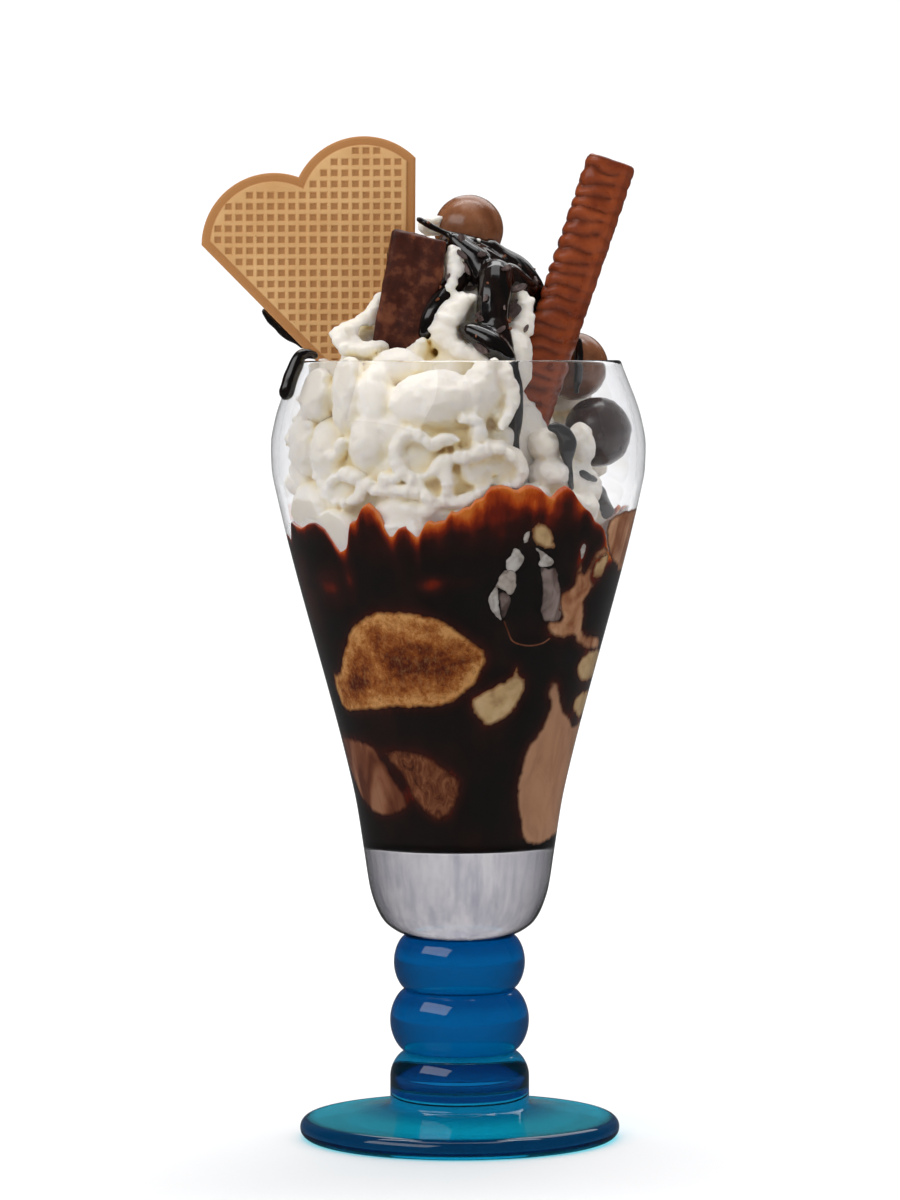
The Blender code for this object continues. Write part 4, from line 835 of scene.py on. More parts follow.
def blue_glass():
    """Deep blue glass, lighter and greener in the thin foot."""
    finish = Finish("blue_glass")
    tint = tuple(bpy.context.scene.sundae_colours.stem)
    finish.set(transmission_weight=1.0, ior=1.5)
    streak = finish.mix(finish.noise(40, 2), tint, (tint[0] * 0.7, tint[1] * 0.75, tint[2] * 0.85, 1))
    height = finish.axis("Z")
    # Painted shade: a darker band at the top of each ring, under its groove; streak carries these bands from here on.
    for groove in (STEM_TOP, *GROOVES):
        below = finish.math("MULTIPLY", finish.span(height, groove - 0.0048, groove - 0.0026), finish.span(height, groove, groove + 0.0012, 1.0, 0.0))
        streak = finish.mix(finish.math("MULTIPLY", below, 0.75), streak, colour(0, 40, 96))
    # Lighter blue in the lowest ring.
    streak = finish.mix(finish.span(height, GROOVES[1] - 0.001, GROOVES[1], 0.6, 0.0), streak, colour(2, 108, 166))
    away = finish.math("POWER", finish.math("ADD", *(finish.math("MULTIPLY", finish.axis(a), finish.axis(a)) for a in "XY")), 0.5)
    # Painted shade: deep blue on the foot near the column, cyan farther out.
    thin = finish.mix(finish.span(away, 0.0185, 0.0270, 1.0, 0.0), colour(8, 232, 255), colour(2, 96, 150))
    # Painted shade: a navy band round the foot's rim.
    thin = finish.mix(finish.span(away, 0.0366, 0.0392), thin, colour(0, 26, 68))
    # Painted highlight: a light cyan line along the foot's lower edge.
    thin = finish.mix(finish.span(height, 0.0004, 0.0013, 1.0, 0.0), thin, colour(60, 225, 240))
    disc = finish.span(height, FOOT_EDGE, COLLAR_BASE, 1.0, 0.0)
    finish.set(base_color=finish.mix(disc, streak, thin), specular_ior_level=0.22)
    finish.set(roughness=finish.span(finish.noise(70, 3), 0.3, 0.7, 0.0, 0.025))
    finish.bump(finish.noise(60, 2, seed=2), 0.06, 0.0004)
    return finish.lets_lamps_through((0.42, 0.92, 1.0, 1))


def sauce_finish():
    """Wet, nearly black chocolate sauce."""
    finish = Finish("chocolate_sauce")
    base = tuple(bpy.context.scene.sundae_colours.sauce)
    streaks = finish.noise(180, 4, stretch=(1, 1, 0.4))
    finish.set(base_color=finish.mix(finish.span(streaks, 0.45, 0.75), base, colour(34, 20, 16)))
    finish.set(roughness=finish.span(finish.noise(260, 3), 0.3, 0.8, 0.10, 0.24), coat_weight=0.3, coat_roughness=0.08)
    return finish.bump(finish.noise(160, 2, seed=4), 0.10, 0.0004)


def wall_sauce_finish():
    """Sauce against the glass: black, with light glowing red through its thin edge."""
    finish = Finish("wall_sauce")
    glow = finish.value("glow")
    uneven = finish.noise(240, 5, 0.65, stretch=(1, 1, 0.35))
    lit = finish.math("MULTIPLY", glow, finish.span(uneven, 0.25, 0.75, 0.6, 1.3))
    body = finish.mix(finish.span(finish.noise(60, 4, seed=9), 0.5, 0.75), colour(12, 3, 1), colour(32, 10, 4))
    tone = finish.ramp(
        lit,
        (0.0, colour(0, 0, 0)),
        (0.24, colour(44, 6, 1)),
        (0.48, colour(112, 26, 3)),
        (0.72, colour(182, 68, 10)),
        (1.0, colour(214, 118, 42)),
    )
    finish.set(base_color=finish.mix(1.0, body, tone, "ADD"), roughness=0.35, specular_ior_level=0.06)
    return finish.bump(uneven, 0.2, 0.0004)


def patch_finish(kind):
    """Ice cream or cream pressed against the glass."""
    finish = Finish(kind + "_at_glass")
    edge = finish.value("edge")
    rim = finish.span(edge, 0.1, 0.9, 0.85, 0.0)
    rim_tone = colour(58, 16, 5)
    if kind == "caramel":
        frost = finish.noise(520, 6, 0.8, 0.4)
        broad = finish.noise(120, 3, 0.5, seed=5)
        inner = finish.span(edge, 1.2, 6.5, 0.10, -0.10)
        grain = finish.noise(1100, 4, 0.7, stretch=(1, 1, 0.45), seed=2)
        blend = finish.math("ADD", finish.math("MULTIPLY", frost, 0.5), finish.math("MULTIPLY", broad, 0.5))
        tone = finish.ramp(
            finish.math("ADD", blend, inner),
            (0.36, colour(84, 30, 8)),
            (0.45, colour(138, 70, 24)),
            (0.53, colour(180, 112, 54)),
            (0.62, colour(222, 164, 98)),
        )
        tone = finish.mix(finish.span(grain, 0.5, 0.75, 0.0, 0.5), tone, colour(190, 138, 86))
        specks = finish.span(finish.noise(700, 5, 0.8, seed=12), 0.60, 0.68, 0.0, 0.7)
        tone = finish.mix(specks, tone, colour(60, 20, 6))
        rim_tone = colour(96, 38, 10)
    elif kind == "streaky":
        streak = finish.noise(360, 6, 0.7, 1.6, stretch=(1, 1, 0.45))
        tone = finish.ramp(streak, (0.34, colour(64, 28, 12)), (0.5, colour(118, 66, 40)), (0.66, colour(152, 96, 64)))
    elif kind == "smooth":
        streak = finish.noise(120, 3, 0.5, 1.2, stretch=(1, 1, 0.4))
        tone = finish.ramp(streak, (0.35, colour(96, 50, 30)), (0.5, colour(136, 82, 56)), (0.65, colour(164, 114, 84)))
    elif kind == "tan":
        streak = finish.noise(220, 4, 0.5, 0.4)
        tone = finish.ramp(streak, (0.25, colour(170, 132, 90)), (0.5, colour(212, 178, 128)), (0.8, colour(232, 202, 156)))
        rim_tone = colour(120, 66, 30)
    elif kind == "white":
        streak = finish.noise(260, 3, 0.5, 0.6)
        tone = finish.ramp(streak, (0.3, colour(168, 158, 148)), (0.5, colour(214, 208, 200)), (0.75, colour(236, 232, 226)))
        # Painted shade: white cream greys toward its edges.
        rim = finish.span(edge, 0.0, 0.3, 0.4, 0.0)
        rim_tone = colour(120, 104, 94)
    elif kind == "pale_grey":
        # Cream in painted half shade, darker at its edges.
        streak = finish.noise(300, 3, 0.5, 0.8)
        tone = finish.ramp(streak, (0.3, colour(120, 108, 98)), (0.5, colour(186, 174, 162)), (0.75, colour(216, 206, 196)))
        rim = finish.span(edge, 0.0, 0.3, 0.5, 0.0)
        rim_tone = colour(90, 74, 64)
    elif kind == "grey":
        # Cream in painted shade, nearly black at its edges.
        streak = finish.noise(200, 3, 0.5, 0.8, stretch=(1, 1, 0.4))
        tone = finish.ramp(streak, (0.3, colour(48, 34, 32)), (0.5, colour(112, 94, 88)), (0.75, colour(176, 158, 150)))
        rim = finish.span(edge, 0.0, 0.35, 0.7, 0.0)
        rim_tone = colour(14, 9, 8)
    elif kind == "swirl":
        streak = finish.noise(150, 4, 0.5, 1.4, stretch=(1, 1, 0.5))
        tone = finish.ramp(streak, (0.32, colour(150, 92, 60)), (0.5, colour(192, 136, 98)), (0.72, colour(220, 172, 132)))
        rim_tone = colour(84, 40, 20)
    else:
        streak = finish.noise(150, 5, 0.6, 1.0, stretch=(1, 1, 0.45))
        tone = finish.ramp(streak, (0.2, colour(166, 120, 90)), (0.52, colour(196, 148, 114)), (0.85, colour(208, 160, 126)))
    tone = finish.mix(rim, tone, rim_tone)
    finish.set(base_color=tone, roughness=0.6, specular_ior_level=0.08)
    return finish.bump(finish.noise(700, 4, 0.7), 0.25, 0.0003)


def cream_finish():
    """Whipped cream: white ridges, a little warmer in its folds."""
    finish = Finish("whipped_cream")
    # Painted shade: the stored share of hidden sky turns the cream yellow in its creases.
    painted_shade = finish.math("ADD", finish.value("painted_shade"), finish.span(finish.noise(160, 3), 0.3, 0.7, -0.06, 0.06))
    white = tuple(bpy.context.scene.sundae_colours.cream)
    tone = finish.ramp(
        painted_shade,
        (0.16, white),
        (0.36, colour(243, 232, 202)),
        (0.52, colour(235, 214, 156)),
        (0.72, colour(216, 176, 92)),
    )
    milky = finish.span(finish.noise(70, 3, seed=6), 0.35, 0.65, 0.0, 0.35)
    tone = finish.mix(milky, tone, colour(240, 236, 232))
    finish.set(base_color=tone, roughness=finish.span(finish.noise(500, 3), 0.3, 0.7, 0.45, 0.62))
    finish.set(subsurface_weight=0.5, subsurface_radius=(1.0, 0.9, 0.62), subsurface_scale=0.003)
    finish.set(specular_ior_level=0.3)
    return finish.bump(finish.noise(780, 6, 0.75), 0.45, 0.0004)


def wafer_finish():
    """Baked wafer: pale ridges, browner pits and rim."""
    finish = Finish("wafer")
    face = tuple(bpy.context.scene.sundae_colours.wafer)
    depth = finish.math("ABSOLUTE", finish.math("SUBTRACT", finish.axis("Y"), WAFER_TIP.y))
    low = FIELD_THICKNESS / 2 - PIT_DEPTH
    # Painted shade: the floors of the pits, found by their depth, are browner.
    pit = finish.span(depth, low, FIELD_THICKNESS / 2 - 0.0001, 1.0, 0.0)
    bake = finish.noise(45, 4, 0.6, seed=3)
    tone = finish.mix(finish.span(bake, 0.35, 0.7), face, colour(212, 160, 100))
    tone = finish.mix(finish.math("MULTIPLY", pit, 0.85), tone, colour(176, 120, 66))
    tone = finish.mix(finish.span(finish.value("flange"), 0.0, 1.0, 0.0, 0.72), tone, colour(190, 130, 72))
    pores = finish.span(finish.cells(620), 0.0, 0.13, 1.0, 0.0)
    sparse = finish.span(finish.noise(170, 2, seed=7), 0.56, 0.60)
    tone = finish.mix(finish.math("MULTIPLY", finish.math("MULTIPLY", pores, sparse), 0.75), tone, colour(84, 44, 18))
    finish.set(base_color=tone, roughness=finish.span(finish.noise(400, 3), 0.3, 0.7, 0.6, 0.8))
    return finish.bump(finish.noise(850, 5, 0.7), 0.35, 0.0003)


def chocolate_finish(kind):
    """Milk or dark chocolate coating with a soft bloom."""
    finish = Finish(kind + "_chocolate")
    cloud = finish.noise(150, 5, 0.6, 0.3)
    if kind == "milk":
        tone = finish.ramp(cloud, (0.3, colour(104, 60, 36)), (0.55, colour(134, 84, 54)), (0.8, colour(156, 106, 74)))
        finish.set(roughness=finish.span(finish.noise(300, 3), 0.3, 0.7, 0.17, 0.30))
    elif kind == "ripple":
        base = tuple(bpy.context.scene.sundae_colours.milk)
        tone = finish.mix(finish.span(cloud, 0.35, 0.7), base, colour(162, 76, 34))
        # Painted shade: the stored shade darkens the ripples' troughs and the stick's right side face.
        tone = finish.mix(finish.span(finish.value("painted_shade"), 0.0, 1.0, 0.0, 0.7), tone, colour(56, 18, 8))
        finish.set(roughness=finish.span(finish.noise(300, 3), 0.3, 0.7, 0.24, 0.40), specular_ior_level=0.34)
    elif kind == "dark":
        tone = finish.ramp(cloud, (0.3, colour(38, 22, 18)), (0.6, colour(58, 36, 30)), (0.8, colour(78, 52, 44)))
        finish.set(roughness=finish.span(finish.noise(300, 3), 0.3, 0.7, 0.14, 0.30))
    else:
        tone = finish.ramp(
            finish.math("ADD", finish.math("MULTIPLY", cloud, 0.6), finish.math("MULTIPLY", finish.noise(420, 4), 0.4)),
            (0.36, colour(50, 17, 7)),
            (0.5, colour(74, 29, 13)),
            (0.62, colour(116, 62, 36)),
        )
        finish.set(roughness=finish.span(finish.noise(300, 3), 0.3, 0.7, 0.40, 0.58), specular_ior_level=0.3)
    finish.set(base_color=tone)
    return finish.bump(finish.noise(650, 4, 0.6), 0.15, 0.0003)


def flake_finish():
    """Matt shards of dark chocolate."""
    finish = Finish("chocolate_flakes")
    tone = finish.ramp(finish.noise(500, 5, 0.7), (0.3, colour(44, 30, 28)), (0.5, colour(84, 66, 62)), (0.7, colour(128, 108, 102)))
    finish.set(base_color=tone, roughness=0.5)
    return finish.bump(finish.noise(1100, 4, 0.7), 0.4, 0.0003)


def crumb_finish():
    """Toasted crumbs."""
    finish = Finish("toasted_crumbs")
    tone = finish.ramp(finish.noise(600, 4), (0.35, colour(88, 40, 18)), (0.65, colour(140, 84, 48)))
    finish.set(base_color=tone, roughness=0.6)
    return finish.bump(finish.noise(1000, 3), 0.4, 0.0003)


# ---- pieces


def glass_bowl():
    """The clear bowl with its thick base and rounded rim."""
    sizes = bpy.context.scene.sundae_sizes
    heights = [BOWL_OUTLINE[0][0]]
    for low, high in zip(BOWL_OUTLINE, BOWL_OUTLINE[1:]):
        steps = max(3, round((high[0] - low[0]) / 0.0016))
        heights += [low[0] + (high[0] - low[0]) * step / steps for step in range(1, steps + 1)]
    profile = [(0.0, heights[0])]
    profile += [(outer_radius(height), height) for height in heights]
    half = sizes.wall / 2
    middle = outer_radius(heights[-1]) - half
    lift = RIM_TOP - heights[-1]
    for step in range(1, 10):
        angle = math.pi * step / 10
        profile.append((middle + half * math.cos(angle), heights[-1] + lift * math.sin(angle)))
    corner = sizes.floor + FLOOR_CORNER
    profile += [(inner_radius(height), height) for height in reversed(heights) if height > corner]
    wall = inner_radius(corner)
    for step in range(11):
        angle = math.pi / 2 * step / 10
        profile.append((wall - FLOOR_CORNER + FLOOR_CORNER * math.cos(angle), corner - FLOOR_CORNER * math.sin(angle)))
    profile.append((0.0, sizes.floor))
    return dress(turned("bowl", profile, GLASS_SIDES), clear_glass(), "clear_glass", "glass_bowl")


def stem_and_foot():
    """Three stacked rings on a disc foot."""
    profile = [(0.0, 0.0), (FOOT_UNDERSIDE_RADIUS, 0.0)]
    middle = FOOT_EDGE / 2
    reach = FOOT_RADIUS - FOOT_UNDERSIDE_RADIUS
    for step in range(1, 16):
        angle = math.pi * (step / 16 - 0.5)
        profile.append((FOOT_UNDERSIDE_RADIUS + reach * math.cos(angle), middle + middle * math.sin(angle)))
    profile.append((FOOT_UNDERSIDE_RADIUS, FOOT_EDGE))
    inner = RING_RADII[-1] + (FOOT_TOP - FOOT_EDGE) / 2
    for step in range(1, 13):
        t = step / 12
        profile.append((FOOT_UNDERSIDE_RADIUS + (inner - FOOT_UNDERSIDE_RADIUS) * t, FOOT_EDGE + (FOOT_TOP - FOOT_EDGE) * t**1.6))
    profile.append((RING_RADII[-1] + 0.0004, FOOT_TOP + 0.0005))
    profile.append((RING_RADII[-1], COLLAR_BASE))
    middle = (GROOVES[1] + COLLAR_BASE) / 2
    bands = ((GROOVES[1], middle, RING_RADII[2]), (GROOVES[0], GROOVES[1], RING_RADII[1]))
    bands += ((STEM_TOP, GROOVES[0], RING_RADII[0]),)
    for index, (top, bottom, radius) in enumerate(bands):
        for step in range(1, RING_STEPS + 1):
            t = (1 - math.cos(math.pi * step / RING_STEPS)) / 2 if index else math.sin(math.pi / 2 * step / RING_STEPS)
            rise = math.cos(math.pi / 2 * t) if index == 0 else math.sin(math.pi * t)
            groove = GROOVE_RADIUS if step < RING_STEPS or index < 2 else STEM_NECK
            bulge = max(rise, 0.0) ** RING_FULLNESS
            profile.append((groove + (radius - groove) * bulge, bottom + (top - bottom) * t))
    profile.append((0.0, STEM_TOP))
    return dress(turned("stem", profile, GLASS_SIDES), blue_glass(), "blue_glass", "stem_foot")


def crown_line():
    """The sauce's upper edge all round, as angles and heights."""
    chance = random.Random(SEED)
    angles = [place[0] for place in CROWN_FRONT]
    heights = [place[1] for place in CROWN_FRONT]
    angle = CROWN_BACK[0] + CROWN_BACK_STEP
    high = True
    while angle < CROWN_BACK[1] - CROWN_BACK_STEP / 2:
        angles.append(angle)
        heights.append(chance.uniform(0.1555, 0.1665) if high else chance.uniform(0.1520, 0.1590))
        angle += CROWN_BACK_STEP * chance.uniform(0.4, 1.3)
        high = not high if chance.random() < 0.8 else high
    order = np.argsort(np.mod(angles, 360))
    coarse = (np.mod(angles, 360)[order], np.array(heights)[order])
    fine = np.linspace(0, 360, 1441)
    line = np.interp(fine, coarse[0], coarse[1], period=360)
    kernel = np.array([1, 2, 3, 2, 1]) / 9
    padded = np.concatenate([line[-3:-1], line, line[1:3]])
    line = np.convolve(padded, kernel, "valid")
    wide = np.convolve(np.concatenate([line[-10:-1], line, line[1:10]]), np.hanning(21)[1:-1] / 10, "valid")
    behind = np.clip(np.minimum(fine - CROWN_BACK[0], CROWN_BACK[1] - fine) / 8, 0, 1)
    line += (wide - line) * behind
    ripple = np.array([noise.noise(Vector((math.sin(math.radians(a)) * 9, math.cos(math.radians(a)) * 9, 3.1))) for a in fine])
    return fine, line + ripple * 0.0006


def wall_sauce():
    """The sauce that fills the cone and climbs the glass in teeth."""
    sizes = bpy.context.scene.sundae_sizes
    crown = crown_line()
    turn = 360 / FILL_SIDES
    angles = np.array([index * turn for index in range(FILL_SIDES)])
    tops = np.interp(angles, crown[0], crown[1], period=360)
    corner = sizes.floor + FLOOR_CORNER
    rings = []
    glow = [0.0]
    for step in range(6):
        angle = math.pi / 2 * step / 5
        radius = inner_radius(corner) - FLOOR_CORNER + (FLOOR_CORNER + TOUCH) * math.sin(angle)
        height = corner - (FLOOR_CORNER + TOUCH) * math.cos(angle)
        rings.append([(radius * math.sin(math.radians(a)), -radius * math.cos(math.radians(a)), height) for a in angles])
        glow += [0.0] * FILL_SIDES
    outlines = []
    for name, _, _, shape in PATCHES:
        if not name.startswith("window"):
            outlines.append(np.array([(x, y / 1000) for x, y, _ in closed_spline([(a, h, 0) for a, h in shape], 4)]))
    for row in range(1, FILL_ROWS + 1):
        share = row / FILL_ROWS
        share = 1 - (1 - share) ** 1.25
        ring = []
        for a, top in zip(angles, tops):
            height = corner + (top - corner) * share
            below = top - height
            thin = 1.0 if below > 0.0006 else below / 0.0006
            ring.append(wall_point(a, height, -TOUCH + 0.0012 * (1 - thin)))
            glow.append(sauce_glow(a, height, below, outlines))
        rings.append(ring)
    lip = []
    foot = []
    for a, top in zip(angles, tops):
        lip.append(wall_point(a, top - LIP_THICKNESS / 2, LIP_THICKNESS))
        foot.append(wall_point(a, FILL_LEVEL, LIP_THICKNESS * 1.8))
    rings += [lip, foot]
    glow += [0.4] * FILL_SIDES + [0.1] * FILL_SIDES + [0.0]
    obj = skin("wall_sauce", (0, 0, sizes.floor - TOUCH), rings, (0, 0, FILL_LEVEL))
    give(obj, "glow", glow)
    return dress(obj, wall_sauce_finish(), "chocolate_sauce", "sauce_fill")


def sauce_glow(angle, height, below, outlines):
    """How much light comes red through the sauce at a place on the wall."""
    angle = (angle + 180) % 360 - 180
    wander = noise.noise(Vector((angle / 7, height * 300, 1.7)))
    streak = noise.noise(Vector((angle / 2.6, height * 60, 5.1)))
    reach = 0.0016 + 0.0034 * math.exp(-(((angle - 16) / 26) ** 2)) + 0.0012 * math.exp(-(((angle + 28) / 14) ** 2))
    reach *= 1 + 0.55 * streak
    value = 0.95 * math.exp(-((below / reach) ** 1.2)) * (1 + 0.35 * wander)
    for place, level, wide, spread, strength in SAUCE_GLOWS:
        far = ((angle - place) / wide) ** 2 + ((height - level) / spread) ** 2
        if far < 6:
            value += strength * math.exp(-far) * (0.75 + 0.6 * wander)
    radius = inner_radius(height)
    for outline in outlines:
        away = np.radians((outline[:, 0] - angle + 180) % 360 - 180) * radius
        near = float(np.min(np.hypot(away, outline[:, 1] - height)))
        if near < 0.006:
            value += 0.34 * math.exp(-((near / 0.0011) ** 1.3)) * (1 + 0.4 * wander)
    return min(max(value, 0.0), 1.0)


def wall_patch(name, shape, touch, bulge, ragged):
    """A piece pressed flat against the glass inside an outline, rounded behind."""
    middle = sum(height for _, height in shape) / len(shape)
    per_degree = math.radians(1) * inner_radius(middle / 1000) * 1000
    outline = []
    for spot in closed_spline([(a * per_degree, h, 0) for a, h in shape], 12):
        shift = noise.noise_vector(Vector((spot.x / 1.5, spot.y / 1.5, 4.0))) * ragged
        shift += noise.noise_vector(Vector((spot.x / 0.5, spot.y / 0.5, 9.0))) * ragged * 0.5
        if "back" in name or name == "left_spot":
            shift += noise.noise_vector(Vector((spot.x / 9, spot.y / 9, 2.0))) * 5.5
        outline.append(Vector((spot.x + shift.x, spot.y + shift.y)))
    points = list(outline)
    low = [min(point[axis] for point in outline) for axis in (0, 1)]
    high = [max(point[axis] for point in outline) for axis in (0, 1)]
    step = 1.0
    for row in range(int((high[1] - low[1]) / step) + 1):
        for column in range(int((high[0] - low[0]) / step) + 1):
            spot = Vector((low[0] + step * (column + 0.5 * (row % 2)), low[1] + step * row))
            if within(outline, spot) and min((spot - edge).length for edge in outline) > 0.45:
                points.append(spot)
    count = len(outline)
    border = list(range(count))
    flat, _, triangles, origins, _, _ = delaunay_2d_cdt(points, [], [border], 1, 1e-5)
    rim = {index for index, sources in enumerate(origins) if any(source < count for source in sources)}
    reach = [min((spot - edge).length for edge in outline) for spot in flat]
    front = [wall_point(spot.x / per_degree, spot.y / 1000, -touch) for spot in flat]
    back = []
    for index, spot in enumerate(flat):
        deep = 0.0008 if index in rim else 0.0010 + bulge * min(1.0, reach[index] / 6)
        back.append(wall_point(spot.x / per_degree, spot.y / 1000, deep))
    size = len(flat)
    faces = [tuple(face) for face in triangles]
    faces += [tuple(index + size for index in reversed(face)) for face in triangles]
    ways = collections.Counter()
    for face in triangles:
        for a, b in zip(face, (*face[1:], face[0])):
            ways[(a, b)] += 1
    faces += [(b, a, a + size, b + size) for a, b in ways if (b, a) not in ways]
    obj = new_object(name, front + back, faces)
    give(obj, "edge", [*reach, *reach])
    return obj


def wall_patches():
    """Every scoop and spot that shows at the wall."""
    slots = {"tan": "cream", "white": "cream", "grey": "cream", "pale_grey": "cream", "caramel": "caramel_ice_cream"}
    for name, kind, node, shape in PATCHES:
        small = kind in ("white", "grey", "pale_grey")
        obj = wall_patch(name, shape, PATCH_TOUCH, 0.002 if small else 0.005, 0.28 if small else 0.5)
        finish = shared("patch", patch_finish, kind)
        dress(obj, finish, slots.get(kind, "chocolate_ice_cream"), *([node] if node else []))
    way = [wall_point(angle, height / 1000, 0.0001) for angle, height in WINDOW_LINE]
    line = new_object("window_line", *rope_parts(spline(way, 6), [0.00026] * ((len(way) - 1) * 6 + 1), 10))
    give(line, "edge", [1.0] * len(line.data.vertices))
    dress(line, shared("patch", patch_finish, "smooth"), "chocolate_ice_cream")


def ribbon_parts(points, halves, depth, seed):
    """A piped ribbon of cream: a rounded lip with its body reaching inward."""
    line = spline(metres(points), 7)
    shares = [index / (len(line) - 1) for index in range(len(line))]
    widths = np.interp(shares, np.linspace(0, 1, len(halves)), np.array(halves) / 1000 * RIBBON_SWELL)
    deep = depth / 1000
    profile = []
    for step in range(7):
        angle = math.pi * (step / 6 - 0.5)
        profile.append((1 - math.cos(angle), math.sin(angle), 0.0))
    profile += [(0.0, 1.2, 0.45), (0.0, 1.45, 0.8), (0.0, 1.0, 1.0), (0.0, -1.0, 1.0), (0.0, -1.45, 0.8), (0.0, -1.2, 0.45)]
    rings = []
    for index, (spot, half) in enumerate(zip(line, widths)):
        before = line[max(index - 1, 0)]
        after = line[min(index + 1, len(line) - 1)]
        inward = Vector((-spot.x * 0.6, -spot.y, 0)).normalized()
        ahead = (after - before).normalized()
        across = ahead.cross(inward).normalized()
        wave = noise.noise(Vector((index * 0.55, seed * 3.7, 0.3)))
        ripple = noise.noise(Vector((index * 1.3, seed * 1.9, 6.3)))
        lip = spot - inward * (0.0009 * wave + 0.0003 * ripple)
        half = half * (1 + 0.28 * ripple)
        end = min(index, len(line) - 1 - index)
        half *= 0.45 + 0.55 * min(1.0, end / 3)
        ring = []
        for round_in, off, share in profile:
            along = round_in * half + share * deep
            side = off * half * (1 + 0.2 * wave if share == 0 else 1)
            ring.append(lip + inward * along + across * side)
        rings.append(ring)
    first = rings[0][3] * 0.5 + rings[0][9] * 0.5 - (line[1] - line[0]).normalized() * widths[0] * 0.4
    last = rings[-1][3] * 0.5 + rings[-1][9] * 0.5 + (line[-1] - line[-2]).normalized() * widths[-1] * 0.4
    return skin_parts(first, rings, last)


def ruffle_parts(centre, wide, high, start, sweep, wall, depth, tilt, facing, seed):
    """A piped ruffle: a thin wall of cream curled round an opening."""
    out = Matrix.Rotation(facing, 3, "Z") @ (Matrix.Rotation(math.radians(-tilt), 3, "X") @ Vector((0, -1, 0)))
    side = Matrix.Rotation(facing, 3, "Z") @ Vector((1, 0, 0))
    upward = side.cross(out)
    if upward.z < 0:
        upward.negate()
    steps = max(10, round(abs(sweep) / 9))
    sides = 12
    rings = []
    middle = Vector(centre)
    lines = []
    for step in range(steps + 1):
        angle = math.radians(start + sweep * step / steps)
        away = (side * math.cos(angle) + upward * math.sin(angle)).normalized()
        spot = middle + side * (wide * math.cos(angle)) + upward * (high * math.sin(angle))
        lines.append((spot, away, angle))
    for step, (spot, away, angle) in enumerate(lines):
        end = min(step, steps - step)
        taper = 0.55 + 0.45 * min(1.0, end / 3)
        crimp = math.sin(angle * 4.3 + seed) * 0.5 + math.sin(angle * 7.1 + seed * 2.3) * 0.3
        ring = []
        for index in range(sides):
            turn = 2 * math.pi * index / sides
            along = -depth / 2 + depth / 2 * math.cos(turn)
            back = -along / depth
            thick = wall * taper * (0.85 + 0.9 * back) * math.sin(turn)
            lean = (1 - back) * wall * (0.5 + 0.5 * crimp)
            push = (1 - back) * wall * 0.55 * crimp
            ring.append(spot + away * (thick + lean) + out * (along * taper + push))
        rings.append(ring)
    first = lines[0][0] - out * depth / 2
    last = lines[-1][0] - out * depth / 2
    return skin_parts(first, rings, last)


def whipped_cream():
    """The piped heap of cream with its ruffles and folds."""
    parts = [ball_parts(*metres(shape), detail=4) for shape in CREAM_BODIES]
    parts += [ribbon_parts(*ribbon, index) for index, ribbon in enumerate(CREAM_RIBBONS)]
    chance = random.Random(SEED)
    for height, count, size in BACK_ROWS:
        for index in range(count):
            share = (index + chance.uniform(0.25, 0.75)) / count
            turn = math.radians(BACK_ANGLES[0] + (BACK_ANGLES[1] - BACK_ANGLES[0]) * share)
            level = height + chance.uniform(-0.003, 0.003)
            room = inner_radius(level) if level < RIM_TOP else 0.0375 - (level - RIM_TOP)
            reach = room - chance.uniform(0.0022, 0.0048)
            if math.degrees(turn) < 118 and level > 0.166:
                continue
            centre = (reach * math.sin(turn), -reach * math.cos(turn), level)
            wide = size * chance.uniform(0.8, 1.2)
            if chance.random() < 0.3:
                inset = Vector(centre) * 0.93
                inset.z = level
                parts.append(ball_parts(inset, (wide * 0.9, wide * 0.8, wide), 3))
                continue
            start = chance.uniform(0, 360)
            sweep = chance.uniform(220, 340)
            parts.append(
                ruffle_parts(centre, wide, wide * chance.uniform(0.6, 0.9), start, sweep, 0.0016, 0.0095, chance.uniform(0, 30), turn, index)
            )
    for height, count, reach, size in UPPER_BACK:
        for index in range(count):
            turn = math.radians(120 + 130 * (index + 0.5) / count)
            centre = (reach * math.sin(turn), -reach * math.cos(turn), height)
            parts.append(ruffle_parts(centre, size, size * 0.8, chance.uniform(0, 360), 300, 0.0017, 0.0085, 25, turn, index))
    obj = melted("whipped_cream_heap", parts, CREAM_VOXEL, 1)
    roughened(obj, 0.0010, 0.0075, 8.0)
    roughened(obj, 0.00055, 0.0032, 1.0)
    roughened(obj, 0.00030, 0.0014, 5.0)
    thinned(obj, MOST_TRIANGLES)
    pressed(obj, crown_line())
    # Painted shade: the share of sky hidden at each vertex, for the cream's warm crease shade.
    give(obj, "painted_shade", hollows(obj, 0.0085))
    return dress(obj, cream_finish(), "cream", "whipped_cream")


def cream_lumps():
    """Loose lumps of cream at the right."""
    parts = [ball_parts(*metres(shape), detail=4) for shape in LUMPS]
    obj = melted("cream_lump_pile", parts, CREAM_VOXEL, 3)
    roughened(obj, 0.0009, 0.0040, 7.0)
    roughened(obj, 0.00035, 0.0014, 2.0)
    pressed(obj, crown_line())
    # Painted shade: the share of sky hidden at each vertex, for the lumps' warm crease shade.
    give(obj, "painted_shade", hollows(obj, 0.006))
    return dress(obj, shared("whipped_cream", cream_finish), "cream", "cream_lumps")


KEPT_FINISHES = {}


def shared(name, maker, *choices):
    """Make a finish once and share it."""
    key = (name, *choices)
    if key not in KEPT_FINISHES:
        KEPT_FINISHES[key] = maker(*choices)
    return KEPT_FINISHES[key]


def poured_sauce():
    """Sauce over the heap and down its right side."""
    parts = [run_parts(run) for run in TOP_RUNS]
    obj = melted("poured_sauce_top", parts, 0.00042, 5)
    roughened(obj, 0.0006, 0.0070, 3.0)
    pressed(obj)
    return dress(obj, shared("sauce", sauce_finish), "chocolate_sauce", "poured_sauce")


